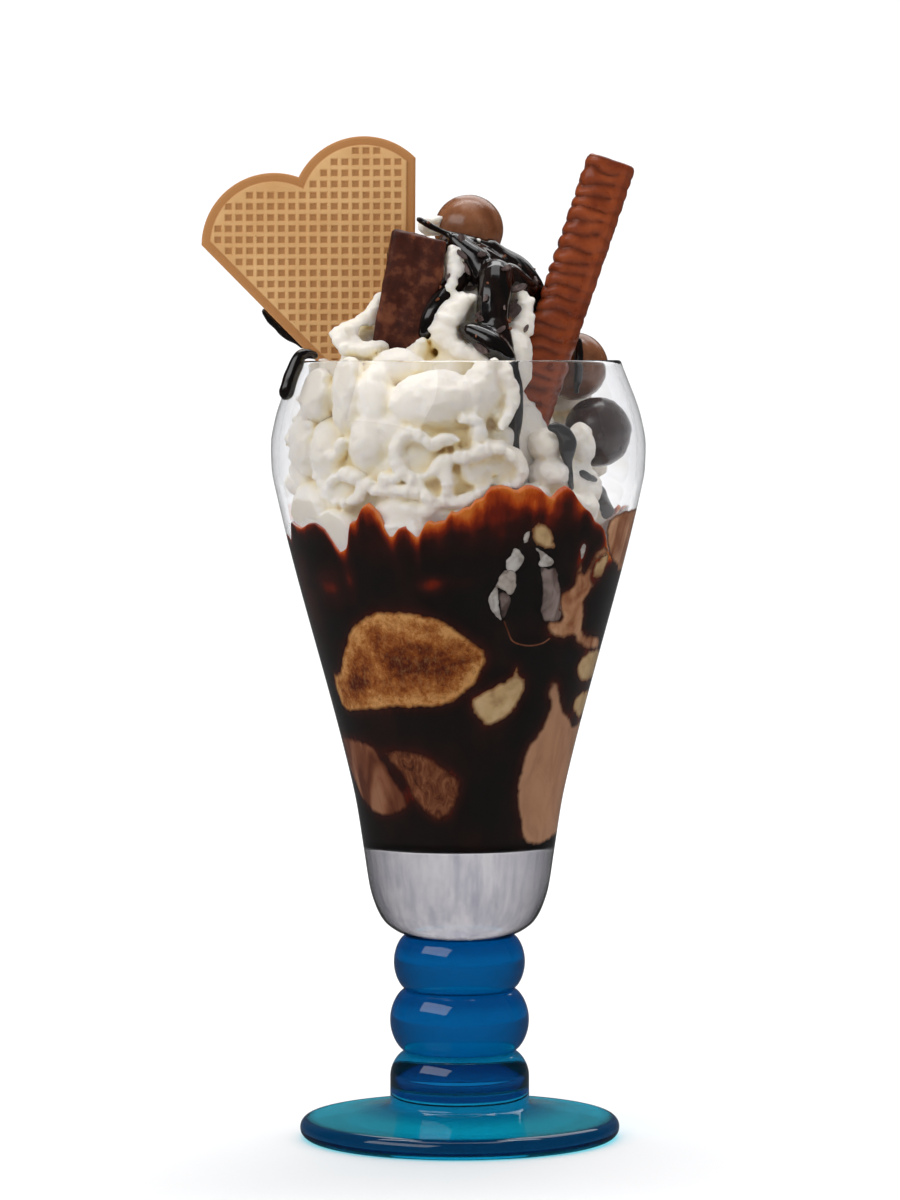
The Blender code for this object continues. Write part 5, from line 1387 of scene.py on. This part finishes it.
def drips():
    """Thin runs beside the lumps, on a ball, behind the wafer and over the rim."""
    for name, run, node in (
        ("right_drip_run", RIGHT_DRIP, "right_drip"),
        ("low_drip_run", LOW_DRIP, None),
        ("ball_streak", BALL_STREAK, None),
        ("wafer_smear", WAFER_SMEAR, None),
    ):
        obj = melted(name, [run_parts(run)], 0.00030, 3)
        roughened(obj, 0.0004, 0.003, 2.0)
        pressed(obj)
        dress(obj, shared("sauce", sauce_finish), "chocolate_sauce", *([node] if node else []))
    across = Vector((math.sin(RIM_DRIP_ANGLE), -math.cos(RIM_DRIP_ANGLE), 0))
    way = [across * away + Vector((0, 0, height)) for away, height in RIM_DRIP_WAY]
    over = new_object("rim_drip_run", *run_parts((way, RIM_DRIP_RADII), 10, 28))
    roughened(over, 0.0002, 0.003, 4.0)
    dress(over, shared("sauce", sauce_finish), "chocolate_sauce", "rim_drip")


def heart_outline(inset, lobe_steps=48, edge_steps=10):
    """Heart outline in the wafer's own plane."""
    radius = LOBE_RADIUS - inset
    side = Vector((math.sin(TIP_HALF_ANGLE), math.cos(TIP_HALF_ANGLE)))
    tip = Vector((0, inset / math.sin(TIP_HALF_ANGLE)))
    centre = Vector((LOBE_OFFSET, LOBE_HEIGHT))
    along = (centre - tip).dot(side)
    off = (centre - tip - side * along).length
    corner = tip + side * (along + math.sqrt(radius**2 - off**2))
    start = math.atan2(corner.y - centre.y, corner.x - centre.x)
    end = math.pi - math.acos(LOBE_OFFSET / radius)
    half = [tip + (corner - tip) * step / edge_steps for step in range(edge_steps)]
    for step in range(lobe_steps + 1):
        angle = start + (end - start) * step / lobe_steps
        half.append(centre + Vector((math.cos(angle), math.sin(angle))) * radius)
    other = [Vector((-point.x, point.y)) for point in reversed(half[1:-1])]
    turn = Matrix.Rotation(HEART_LEAN, 2)
    return [turn @ point for point in half + other]


def wafer_place(points, depth):
    """Stand plane points up in the glass at a depth from the wafer's middle."""
    return [WAFER_TIP + Vector((point.x, depth, point.y)) for point in points]


def within(outline, spot):
    """Whether a plane point lies inside an outline."""
    inside = False
    for a, b in zip(outline, outline[1:] + outline[:1]):
        if (a.y > spot.y) != (b.y > spot.y) and spot.x < a.x + (b.x - a.x) * (spot.y - a.y) / (b.y - a.y):
            inside = not inside
    return inside


def pit_tree():
    """Geometry nodes that press a tapered pit into the plate at every point given."""
    tree = bpy.data.node_groups.new("pit_presser", "GeometryNodeTree")
    face = tree.interface
    face.new_socket("Plate", in_out="INPUT", socket_type="NodeSocketGeometry")
    face.new_socket("Places", in_out="INPUT", socket_type="NodeSocketObject")
    wide = face.new_socket("Pit Width", in_out="INPUT", socket_type="NodeSocketFloat")
    wide.default_value = PIT_SIZE[0]
    tall = face.new_socket("Pit Height", in_out="INPUT", socket_type="NodeSocketFloat")
    tall.default_value = PIT_SIZE[1]
    deep = face.new_socket("Pit Depth", in_out="INPUT", socket_type="NodeSocketFloat")
    deep.default_value = PIT_DEPTH
    paint = face.new_socket("Finish", in_out="INPUT", socket_type="NodeSocketMaterial")
    face.new_socket("Wafer", in_out="OUTPUT", socket_type="NodeSocketGeometry")
    nodes = tree.nodes
    link = tree.links.new
    given = nodes.new("NodeGroupInput")
    result = nodes.new("NodeGroupOutput")
    places = nodes.new("GeometryNodeObjectInfo")
    link(given.outputs["Places"], places.inputs["Object"])
    cone = nodes.new("GeometryNodeMeshCone")
    cone.inputs["Vertices"].default_value = 4
    cone.inputs["Radius Top"].default_value = 0.5 * math.sqrt(2) * 0.60
    cone.inputs["Radius Bottom"].default_value = 0.5 * math.sqrt(2) * 1.06
    cone.inputs["Depth"].default_value = 1.2
    spin = nodes.new("GeometryNodeTransform")
    spin.inputs["Translation"].default_value = (0, 0, -0.7)
    spin.inputs["Rotation"].default_value = (0, 0, math.pi / 4)
    link(cone.outputs["Mesh"], spin.inputs["Geometry"])
    size = nodes.new("ShaderNodeCombineXYZ")
    for name, axis in (("Pit Width", "X"), ("Pit Height", "Y"), ("Pit Depth", "Z")):
        link(given.outputs[name], size.inputs[axis])
    shaped = nodes.new("GeometryNodeTransform")
    link(spin.outputs["Geometry"], shaped.inputs["Geometry"])
    link(size.outputs[0], shaped.inputs["Scale"])
    inward = nodes.new("GeometryNodeInputNormal")
    turn = nodes.new("FunctionNodeAlignRotationToVector")
    turn.axis = "Z"
    toward = nodes.new("GeometryNodeInputNamedAttribute")
    toward.data_type = "FLOAT_VECTOR"
    toward.inputs["Name"].default_value = "toward"
    nodes.remove(inward)
    link(toward.outputs["Attribute"], turn.inputs["Vector"])
    copies = nodes.new("GeometryNodeInstanceOnPoints")
    link(places.outputs["Geometry"], copies.inputs["Points"])
    link(shaped.outputs["Geometry"], copies.inputs["Instance"])
    link(turn.outputs["Rotation"], copies.inputs["Rotation"])
    real = nodes.new("GeometryNodeRealizeInstances")
    link(copies.outputs["Instances"], real.inputs["Geometry"])
    press = nodes.new("GeometryNodeMeshBoolean")
    press.operation = "DIFFERENCE"
    press.solver = "EXACT"
    link(given.outputs["Plate"], press.inputs["Mesh 1"])
    link(real.outputs["Geometry"], press.inputs["Mesh 2"])
    last = nodes.new("GeometryNodeRealizeInstances")
    link(press.outputs["Mesh"], last.inputs["Geometry"])
    painted = nodes.new("GeometryNodeSetMaterial")
    link(last.outputs["Geometry"], painted.inputs["Geometry"])
    link(given.outputs["Finish"], painted.inputs["Material"])
    link(painted.outputs["Geometry"], result.inputs["Wafer"])
    return tree, {"Pit Width": wide, "Pit Height": tall, "Pit Depth": deep, "Finish": paint}


def heart_wafer():
    """The heart wafer with a grid of pits on both faces inside a thinner rim."""
    flange = FLANGE_THICKNESS / 2
    field = FIELD_THICKNESS / 2
    step = FLANGE_WIDTH
    rings = []
    for side in (-1, 1):
        layers = [(step + 0.0011, field), (step + 0.0003, field - 0.0001), (step, field - 0.0004), (step - 0.0002, flange)]
        layers += [(0.0007, flange), (0.0002, flange * 0.75), (0.0, flange * 0.35)]
        if side > 0:
            layers.reverse()
        rings += [wafer_place(heart_outline(inset), side * depth) for inset, depth in layers]
    middle = Matrix.Rotation(HEART_LEAN, 2) @ Vector((0, LOBE_HEIGHT))
    first, last = wafer_place([middle], -field) + wafer_place([middle], field)
    plate = skin("heart_wafer_plate", first, rings, last, smooth=False)
    edge = heart_outline(FLANGE_WIDTH + 0.0008, 24, 6)
    low = [min(point[axis] for point in edge) for axis in (0, 1)]
    high = [max(point[axis] for point in edge) for axis in (0, 1)]
    spots = []
    toward = []
    for side in (-1, 1):
        for row in range(int((high[1] - low[1]) / PIT_PITCH[1]) + 1):
            for column in range(int((high[0] - low[0]) / PIT_PITCH[0]) + 1):
                spot = Vector((low[0] + PIT_PITCH[0] * (column + 0.45), low[1] + PIT_PITCH[1] * (row + 0.35)))
                if within(edge, spot):
                    spots += wafer_place([spot], side * (field - PIT_DEPTH * 0.5))
                    toward.append((0, -side, 0))
    mesh = bpy.data.meshes.new("pit_places")
    mesh.from_pydata([tuple(spot) for spot in spots], [], [])
    layer = mesh.attributes.new("toward", "FLOAT_VECTOR", "POINT")
    layer.data.foreach_set("vector", np.array(toward, np.float32).ravel())
    places = bpy.data.objects.new("pit_places", mesh)
    bpy.context.scene.collection.objects.link(places)
    finish = wafer_finish()
    tree, sockets = pit_tree()
    modifier = plate.modifiers.new("pits", "NODES")
    modifier.node_group = tree
    for item in tree.interface.items_tree:
        if item.in_out == "INPUT" and item.name == "Places":
            modifier[item.identifier] = places
    modifier[sockets["Finish"].identifier] = finish.material
    plate = applied(plate)
    bpy.data.objects.remove(places, do_unlink=True)
    plate.data.polygons.foreach_set("use_smooth", [False] * len(plate.data.polygons))
    inner = heart_outline(FLANGE_WIDTH - 0.0001, 24, 6)
    points = positions(plate)
    flanged = []
    for point in points:
        spot = Vector((point[0] - WAFER_TIP.x, point[2] - WAFER_TIP.z))
        flanged.append(0.0 if within(inner, spot) else 1.0)
    give(plate, "flange", flanged)
    return dress(plate, finish, "wafer", "heart_wafer")


def dark_bar():
    """The short coated bar, uneven at its edges."""
    body = bmesh.new()
    bmesh.ops.create_cube(body, size=1.0)
    bmesh.ops.transform(body, matrix=Matrix.Diagonal((*BAR_SIZE, 1.0)), verts=body.verts)
    bmesh.ops.bevel(body, geom=body.edges[:], offset=0.0011, segments=3, profile=0.6, affect="EDGES")
    bmesh.ops.subdivide_edges(body, edges=[edge for edge in body.edges if edge.calc_length() > 0.004], cuts=14, use_grid_fill=True)
    turn = Matrix.Rotation(BAR_LEAN, 4, "Y")
    middle = BAR_TOP - turn.to_3x3() @ Vector((0, 0, BAR_SIZE[2] / 2))
    bmesh.ops.transform(body, matrix=Matrix.Translation(middle) @ turn, verts=body.verts)
    mesh = bpy.data.meshes.new("dark_bar_coat")
    body.to_mesh(mesh)
    body.free()
    obj = bpy.data.objects.new("dark_bar_coat", mesh)
    bpy.context.scene.collection.objects.link(obj)
    mesh.polygons.foreach_set("use_smooth", [True] * len(mesh.polygons))
    roughened(obj, 0.0007, 0.0060, 2.0)
    roughened(obj, 0.00018, 0.0016, 6.0)
    return dress(obj, chocolate_finish("bloomed"), "dark_chocolate", "dark_bar")


def ribbed_stick():
    """The stick with draped ripples of chocolate across its way."""
    ripple = bpy.context.scene.sundae_sizes.ripple
    turn = Matrix.Rotation(STICK_LEAN, 3, "Y")
    sides = 56
    count = 300
    rings = []
    painted_shade = [0.0]
    for index in range(count + 1):
        along = index / count
        cap = min(index, count - index)
        shrink = 1.0 if cap >= 6 else 0.84 + 0.16 * math.sqrt(1 - ((6 - cap) / 6) ** 2)
        ring = []
        for side in range(sides):
            angle = 2 * math.pi * side / sides
            wide = math.copysign(abs(math.cos(angle)) ** 0.62, math.cos(angle))
            deep = math.copysign(abs(math.sin(angle)) ** 0.62, math.sin(angle))
            wander = noise.noise(Vector((wide * 1.3, deep * 1.3, along * 13)))
            phase = along * STICK_LENGTH / STICK_PITCH + 0.30 * wide + 0.42 * wander
            share = phase % 1.0
            crest = math.sin(math.pi * share) ** 0.7 * (0.65 + 0.35 * share)
            facing = 1.0 if math.cos(angle) < 0.25 else 0.30
            strength = facing * (0.9 + 0.7 * noise.noise(Vector((math.floor(phase) * 2.3, wide, deep))))
            if cap < 8:
                strength *= cap / 8
            lift = ripple * strength * (crest - 0.75) * 1.7
            x = wide * STICK_HALF_WIDTH * shrink + math.cos(angle) * lift
            y = deep * STICK_HALF_DEPTH * shrink + math.sin(angle) * lift
            dip = 0.0 if cap > 3 else 0.0003 * (wide * wide + deep * deep) / 2
            ring.append(STICK_TOP + turn @ Vector((x, y, -STICK_LENGTH * along - dip)))
            # Painted shade: darker in each ripple's trough, and darker over the whole right side face.
            painted_shade.append(min(max((0.80 - crest) * 1.1 * facing, 0.0), 0.8) + (0.40 if math.cos(angle) > 0.55 else 0.0))
        rings.append(ring)
    painted_shade.append(0.0)
    obj = skin("ribbed_stick_coat", STICK_TOP, rings, STICK_TOP - turn @ Vector((0, 0, STICK_LENGTH)))
    give(obj, "painted_shade", painted_shade)
    roughened(obj, 0.00022, 0.0022, 3.0)
    return dress(obj, chocolate_finish("ripple"), "milk_chocolate", "ribbed_stick")


def coated_balls():
    """Three chocolate balls, not quite round."""
    slots = {"milk": "milk_chocolate", "dark": "dark_chocolate"}
    for index, (node, (centre, kind)) in enumerate(BALLS.items()):
        obj = new_object(node + "_coat", *ball_parts(centre, (BALL_RADIUS * 0.995,) * 3, 5))
        roughened(obj, 0.00016, 0.0060, index + 1.0)
        roughened(obj, 0.00004, 0.0012, index + 4.0)
        dress(obj, shared("chocolate", chocolate_finish, kind), slots[kind], node)


def shard(name, sides, length, width, thickness, seed):
    """One broken flat shard."""
    chance = random.Random(seed)
    rings = []
    corners = []
    for index in range(sides):
        angle = 2 * math.pi * index / sides + chance.uniform(-0.3, 0.3)
        corners.append((math.cos(angle) * length / 2 * chance.uniform(0.7, 1.1), math.sin(angle) * width / 2 * chance.uniform(0.7, 1.1)))
    for side in (-1, 1):
        rings.append([Vector((x, y, side * thickness / 2)) for x, y in corners])
    obj = skin(name, (0, 0, -thickness / 2), rings, (0, 0, thickness / 2), smooth=False)
    return obj


def scatter_tree():
    """Geometry nodes that strew shards over a surface from a fixed seed."""
    tree = bpy.data.node_groups.new("flake_strewer", "GeometryNodeTree")
    face = tree.interface
    face.new_socket("Surface", in_out="INPUT", socket_type="NodeSocketGeometry")
    sockets = {}
    for name, kind in (
        ("Shard", "NodeSocketObject"),
        ("Density", "NodeSocketFloat"),
        ("Seed", "NodeSocketInt"),
        ("Smallest", "NodeSocketFloat"),
        ("Largest", "NodeSocketFloat"),
        ("Finish", "NodeSocketMaterial"),
    ):
        sockets[name] = face.new_socket(name, in_out="INPUT", socket_type=kind)
    face.new_socket("Shards", in_out="OUTPUT", socket_type="NodeSocketGeometry")
    nodes = tree.nodes
    link = tree.links.new
    given = nodes.new("NodeGroupInput")
    result = nodes.new("NodeGroupOutput")
    spread = nodes.new("GeometryNodeDistributePointsOnFaces")
    link(given.outputs["Surface"], spread.inputs["Mesh"])
    link(given.outputs["Seed"], spread.inputs["Seed"])
    chosen = nodes.new("GeometryNodeInputNamedAttribute")
    chosen.data_type = "FLOAT"
    chosen.inputs["Name"].default_value = "strew"
    dense = nodes.new("ShaderNodeMath")
    dense.operation = "MULTIPLY"
    link(given.outputs["Density"], dense.inputs[0])
    link(chosen.outputs["Attribute"], dense.inputs[1])
    link(dense.outputs[0], spread.inputs["Density"])
    shard_info = nodes.new("GeometryNodeObjectInfo")
    link(given.outputs["Shard"], shard_info.inputs["Object"])
    size = nodes.new("FunctionNodeRandomValue")
    size.data_type = "FLOAT"
    link(given.outputs["Smallest"], size.inputs[2])
    link(given.outputs["Largest"], size.inputs[3])
    link(given.outputs["Seed"], size.inputs["Seed"])
    tip = nodes.new("FunctionNodeRandomValue")
    tip.data_type = "FLOAT_VECTOR"
    tip.inputs[0].default_value = (-0.7, -0.7, 0.0)
    tip.inputs[1].default_value = (0.7, 0.7, 6.28)
    link(given.outputs["Seed"], tip.inputs["Seed"])
    turned_shard = nodes.new("FunctionNodeRotateRotation")
    turned_shard.rotation_space = "LOCAL"
    link(spread.outputs["Rotation"], turned_shard.inputs["Rotation"])
    link(tip.outputs["Value"], turned_shard.inputs["Rotate By"])
    copies = nodes.new("GeometryNodeInstanceOnPoints")
    link(spread.outputs["Points"], copies.inputs["Points"])
    link(shard_info.outputs["Geometry"], copies.inputs["Instance"])
    link(turned_shard.outputs["Rotation"], copies.inputs["Rotation"])
    link(size.outputs[1], copies.inputs["Scale"])
    real = nodes.new("GeometryNodeRealizeInstances")
    link(copies.outputs["Instances"], real.inputs["Geometry"])
    painted = nodes.new("GeometryNodeSetMaterial")
    link(real.outputs["Geometry"], painted.inputs["Geometry"])
    link(given.outputs["Finish"], painted.inputs["Material"])
    link(painted.outputs["Geometry"], result.inputs["Shards"])
    return tree, sockets


def strewn(name, surface, strew, shape, density, seed, sizes, finish, tree, sockets):
    """Shards of one shape strewn over part of a surface."""
    copy = bpy.data.objects.new(name, surface.data.copy())
    bpy.context.scene.collection.objects.link(copy)
    give(copy, "strew", strew)
    modifier = copy.modifiers.new("strew", "NODES")
    modifier.node_group = tree
    for key, value in (
        ("Shard", shape),
        ("Density", density),
        ("Seed", seed),
        ("Smallest", sizes[0]),
        ("Largest", sizes[1]),
        ("Finish", finish.material),
    ):
        modifier[sockets[key].identifier] = value
    applied(copy)
    copy.data.polygons.foreach_set("use_smooth", [False] * len(copy.data.polygons))
    return copy


def laid_flakes(hosts):
    """Larger flakes lying where a line from the front meets the heap."""
    trees = []
    for host in hosts:
        body = bmesh.new()
        body.from_mesh(host.data)
        trees.append(BVHTree.FromBMesh(body))
        body.free()
    vertices = []
    faces = []
    for index, (x, z, length, width, turn) in enumerate(BIG_FLAKES):
        start = Vector((x / 1000, -0.06, z / 1000))
        hits = [tree.ray_cast(start, Vector((0, 1, 0))) for tree in trees]
        hits = [hit for hit in hits if hit[0] is not None]
        if not hits:
            continue
        spot, normal = min(hits, key=lambda hit: hit[3])[:2]
        normal = (normal + Vector((0, -0.8, 0.2))).normalized()
        spin = normal.to_track_quat("Z", "Y") @ Quaternion((0, 0, 1), math.radians(turn))
        chance = random.Random(index)
        corners = []
        for step in range(7):
            angle = 2 * math.pi * step / 7
            reach = chance.uniform(0.8, 1.1)
            corners.append((math.cos(angle) * length / 2 * reach, math.sin(angle) * width / 2 * reach))
        rings = []
        for side in (0.1, 0.8):
            rings.append([spot + spin @ (Vector((a, b, side + 0.12 * a * a / length)) / 1000) for a, b in corners])
        ends = [spot + spin @ Vector((0, 0, side / 1000)) for side in (0.1, 0.8)]
        some_vertices, some_faces = skin_parts(ends[0], rings, ends[1])
        base = len(vertices)
        vertices += some_vertices
        faces += [tuple(corner + base for corner in face) for face in some_faces]
    return new_object("large_flakes", vertices, faces, smooth=False)


def flakes_and_crumbs():
    """Chocolate flakes and toasted crumbs lying on the sauce."""
    length = bpy.context.scene.sundae_sizes.flakes
    surface = bpy.data.objects["poured_sauce_top"]
    points = positions(surface)
    normals = np.zeros(len(points) * 3)
    surface.data.vertices.foreach_get("normal", normals)
    normals = normals.reshape(-1, 3)
    high = np.clip((points[:, 2] - 0.2000) / 0.004, 0, 1) * np.clip(normals[:, 2] * 1.5 + 0.9, 0, 1)
    front = np.clip(-points[:, 1] / 0.008, 0.25, 1)
    tree, sockets = scatter_tree()
    flaky = flake_finish()
    flake = shard("flake_shape", 6, length, length * 0.62, 0.00055, 3)
    crumb = shard("crumb_shape", 5, 0.0011, 0.0009, 0.0008, 8)
    flakes = strewn("chocolate_flakes", surface, high * front, flake, FLAKES_PER_AREA, 4, (0.5, 1.2), flaky, tree, sockets)
    crumbs = strewn("toasted_crumbs", surface, high * front, crumb, CRUMBS_PER_AREA, 9, (0.7, 1.4), crumb_finish(), tree, sockets)
    for shape in (flake, crumb):
        bpy.data.objects.remove(shape, do_unlink=True)
    large = laid_flakes([surface, bpy.data.objects["whipped_cream_heap"]])
    large.data.materials.append(flaky.material)
    for obj, slot in ((flakes, "dark_chocolate"), (large, "dark_chocolate"), (crumbs, "wafer")):
        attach(obj, ROOT)


def stage():
    """Pale floor and backdrop, soft lamps and the camera."""
    rows = []
    for step in range(9):
        angle = math.pi / 2 * step / 8
        rows.append((1.6 + 0.8 * math.sin(angle), 0.8 - 0.8 * math.cos(angle)))
    rows = [(-9.0, 0.0), *rows, (2.4, 4.0)]
    vertices = []
    for y, z in rows:
        vertices += [(-9.0, y, z), (9.0, y, z)]
    faces = [(2 * i, 2 * i + 1, 2 * i + 3, 2 * i + 2) for i in range(len(rows) - 1)]
    mesh = bpy.data.meshes.new("floor")
    mesh.from_pydata(vertices, [], faces)
    floor = bpy.data.objects.new("floor", mesh)
    bpy.context.scene.collection.objects.link(floor)
    mesh.polygons.foreach_set("use_smooth", [True] * len(mesh.polygons))
    finish = Finish("pale_floor")
    # Painted reflection: mirror rays see the floor nearly black, though the camera sees it pale.
    path = finish.nodes.new("ShaderNodeLightPath")
    mirrored = finish.math("MULTIPLY", path.outputs["Is Reflection Ray"], path.outputs["Is Glossy Ray"])
    finish.set(base_color=finish.mix(mirrored, (0.86, 0.86, 0.86, 1), (0.045, 0.045, 0.045, 1)), roughness=0.9)
    floor.data.materials.append(finish.material)

    scene = bpy.context.scene
    scene.view_settings.view_transform = "Standard"
    world = bpy.data.worlds.new("studio")
    scene.world = world
    world.use_nodes = True
    background = world.node_tree.nodes["Background"]
    background.inputs["Color"].default_value = (0.96, 0.97, 1.0, 1)
    # Painted reflection: mirror rays see the world at about a tenth of its strength.
    path = world.node_tree.nodes.new("ShaderNodeLightPath")
    both = world.node_tree.nodes.new("ShaderNodeMath")
    both.operation = "MULTIPLY"
    world.node_tree.links.new(path.outputs["Is Reflection Ray"], both.inputs[0])
    world.node_tree.links.new(path.outputs["Is Glossy Ray"], both.inputs[1])
    level = world.node_tree.nodes.new("ShaderNodeMapRange")
    level.inputs["To Min"].default_value = 0.48
    level.inputs["To Max"].default_value = 0.05
    world.node_tree.links.new(both.outputs[0], level.inputs["Value"])
    world.node_tree.links.new(level.outputs["Result"], background.inputs["Strength"])
    aim = Vector((0.0, 0.0, 0.15))
    for name, place, wide, high, power in (
        ("key", (-1.2, -1.0, 1.3), 1.8, 0.9, 13.0),
        ("fill", (1.4, -0.8, 0.9), 1.6, 0.8, 4.0),
        ("top", (0.0, 0.1, 1.8), 1.2, 1.2, 8.0),
        ("back", (0.3, 1.2, 1.3), 1.4, 1.0, 8.0),
        ("backdrop", (0.0, 0.7, 2.4), 2.4, 1.2, 40.0),
    ):
        lamp = bpy.data.lights.new(name, "AREA")
        lamp.shape = "RECTANGLE"
        lamp.size = wide
        lamp.size_y = high
        lamp.energy = power
        obj = bpy.data.objects.new(name, lamp)
        bpy.context.scene.collection.objects.link(obj)
        obj.location = place
        toward = Vector((0.0, 2.4, 1.0)) if name == "backdrop" else aim
        obj.rotation_euler = (toward - Vector(place)).to_track_quat("-Z", "Y").to_euler()
        obj.visible_transmission = False
        obj.visible_glossy = name != "fill"

    lens = bpy.data.cameras.new("camera")
    lens.sensor_width = 36.0
    lens.lens = CAMERA_LENS
    lens.clip_start = 0.05
    camera = bpy.data.objects.new("camera", lens)
    bpy.context.scene.collection.objects.link(camera)
    ahead = Vector((0, math.cos(CAMERA_PITCH), -math.sin(CAMERA_PITCH)))
    turn = ahead.to_track_quat("-Z", "Y").to_matrix().to_4x4() @ Matrix.Rotation(CAMERA_ROLL, 4, "Z")
    camera.matrix_world = Matrix.Translation((CAMERA_SIDE, -CAMERA_DISTANCE, CAMERA_HEIGHT)) @ turn
    scene.camera = camera


# ---- add-on


def operator(idname, label, text, *makers):
    """An operator class that builds one piece or a group of like pieces."""

    class Build(bpy.types.Operator):
        bl_idname = idname
        bl_label = label
        bl_description = text
        bl_options = {"REGISTER", "UNDO"}

        def execute(self, context):
            for maker in makers:
                maker()
            return {"FINISHED"}

    Build.__doc__ = text
    Build.__name__ = "SUNDAE_OT_" + idname.split(".")[1]
    return Build


OPERATORS = (
    operator("sundae.stage", "Stage", "Floor, lamps and camera", stage),
    operator("sundae.glass", "Clear Bowl", "The clear glass bowl", glass_bowl),
    operator("sundae.stem", "Stem and Foot", "The blue stem and foot", stem_and_foot),
    operator("sundae.wall_sauce", "Wall Sauce", "Sauce lining the glass", wall_sauce),
    operator("sundae.scoops", "Ice Cream", "Ice cream and cream at the wall", wall_patches),
    operator("sundae.cream", "Whipped Cream", "The heap and its lumps", whipped_cream, cream_lumps),
    operator("sundae.sauce", "Poured Sauce", "Sauce over the heap and its drips", poured_sauce, drips),
    operator("sundae.flakes", "Flakes", "Flakes and crumbs on the sauce", flakes_and_crumbs),
    operator("sundae.wafer", "Heart Wafer", "The wafer", heart_wafer),
    operator("sundae.bar", "Dark Bar", "The short bar", dark_bar),
    operator("sundae.stick", "Ribbed Stick", "The ribbed stick", ribbed_stick),
    operator("sundae.balls", "Balls", "The chocolate balls", coated_balls),
)


class SUNDAE_PT_panel(bpy.types.Panel):
    """Sizes, colours and pieces of the sundae."""

    bl_label = "Sundae"
    bl_space_type = "VIEW_3D"
    bl_region_type = "UI"
    bl_category = "Sundae"

    def draw(self, context):
        for group in (context.scene.sundae_sizes, context.scene.sundae_colours):
            for name in group.bl_rna.properties.keys():
                if name not in ("rna_type", "name"):
                    self.layout.prop(group, name)
        for kind in OPERATORS:
            self.layout.operator(kind.bl_idname)


CLASSES = (SundaeSizes, SundaeColours, *OPERATORS, SUNDAE_PT_panel)


def register():
    """Register the classes and their settings."""
    for kind in CLASSES:
        bpy.utils.register_class(kind)
    bpy.types.Scene.sundae_sizes = PointerProperty(type=SundaeSizes)
    bpy.types.Scene.sundae_colours = PointerProperty(type=SundaeColours)


def unregister():
    """Remove the classes and their settings."""
    del bpy.types.Scene.sundae_colours
    del bpy.types.Scene.sundae_sizes
    for kind in reversed(CLASSES):
        bpy.utils.unregister_class(kind)


def main():
    """Build everything and note both boxes."""
    register()
    for kind in OPERATORS:
        group, name = kind.bl_idname.split(".")
        getattr(getattr(bpy.ops, group), name)()


if __name__ == "__main__":
    main()
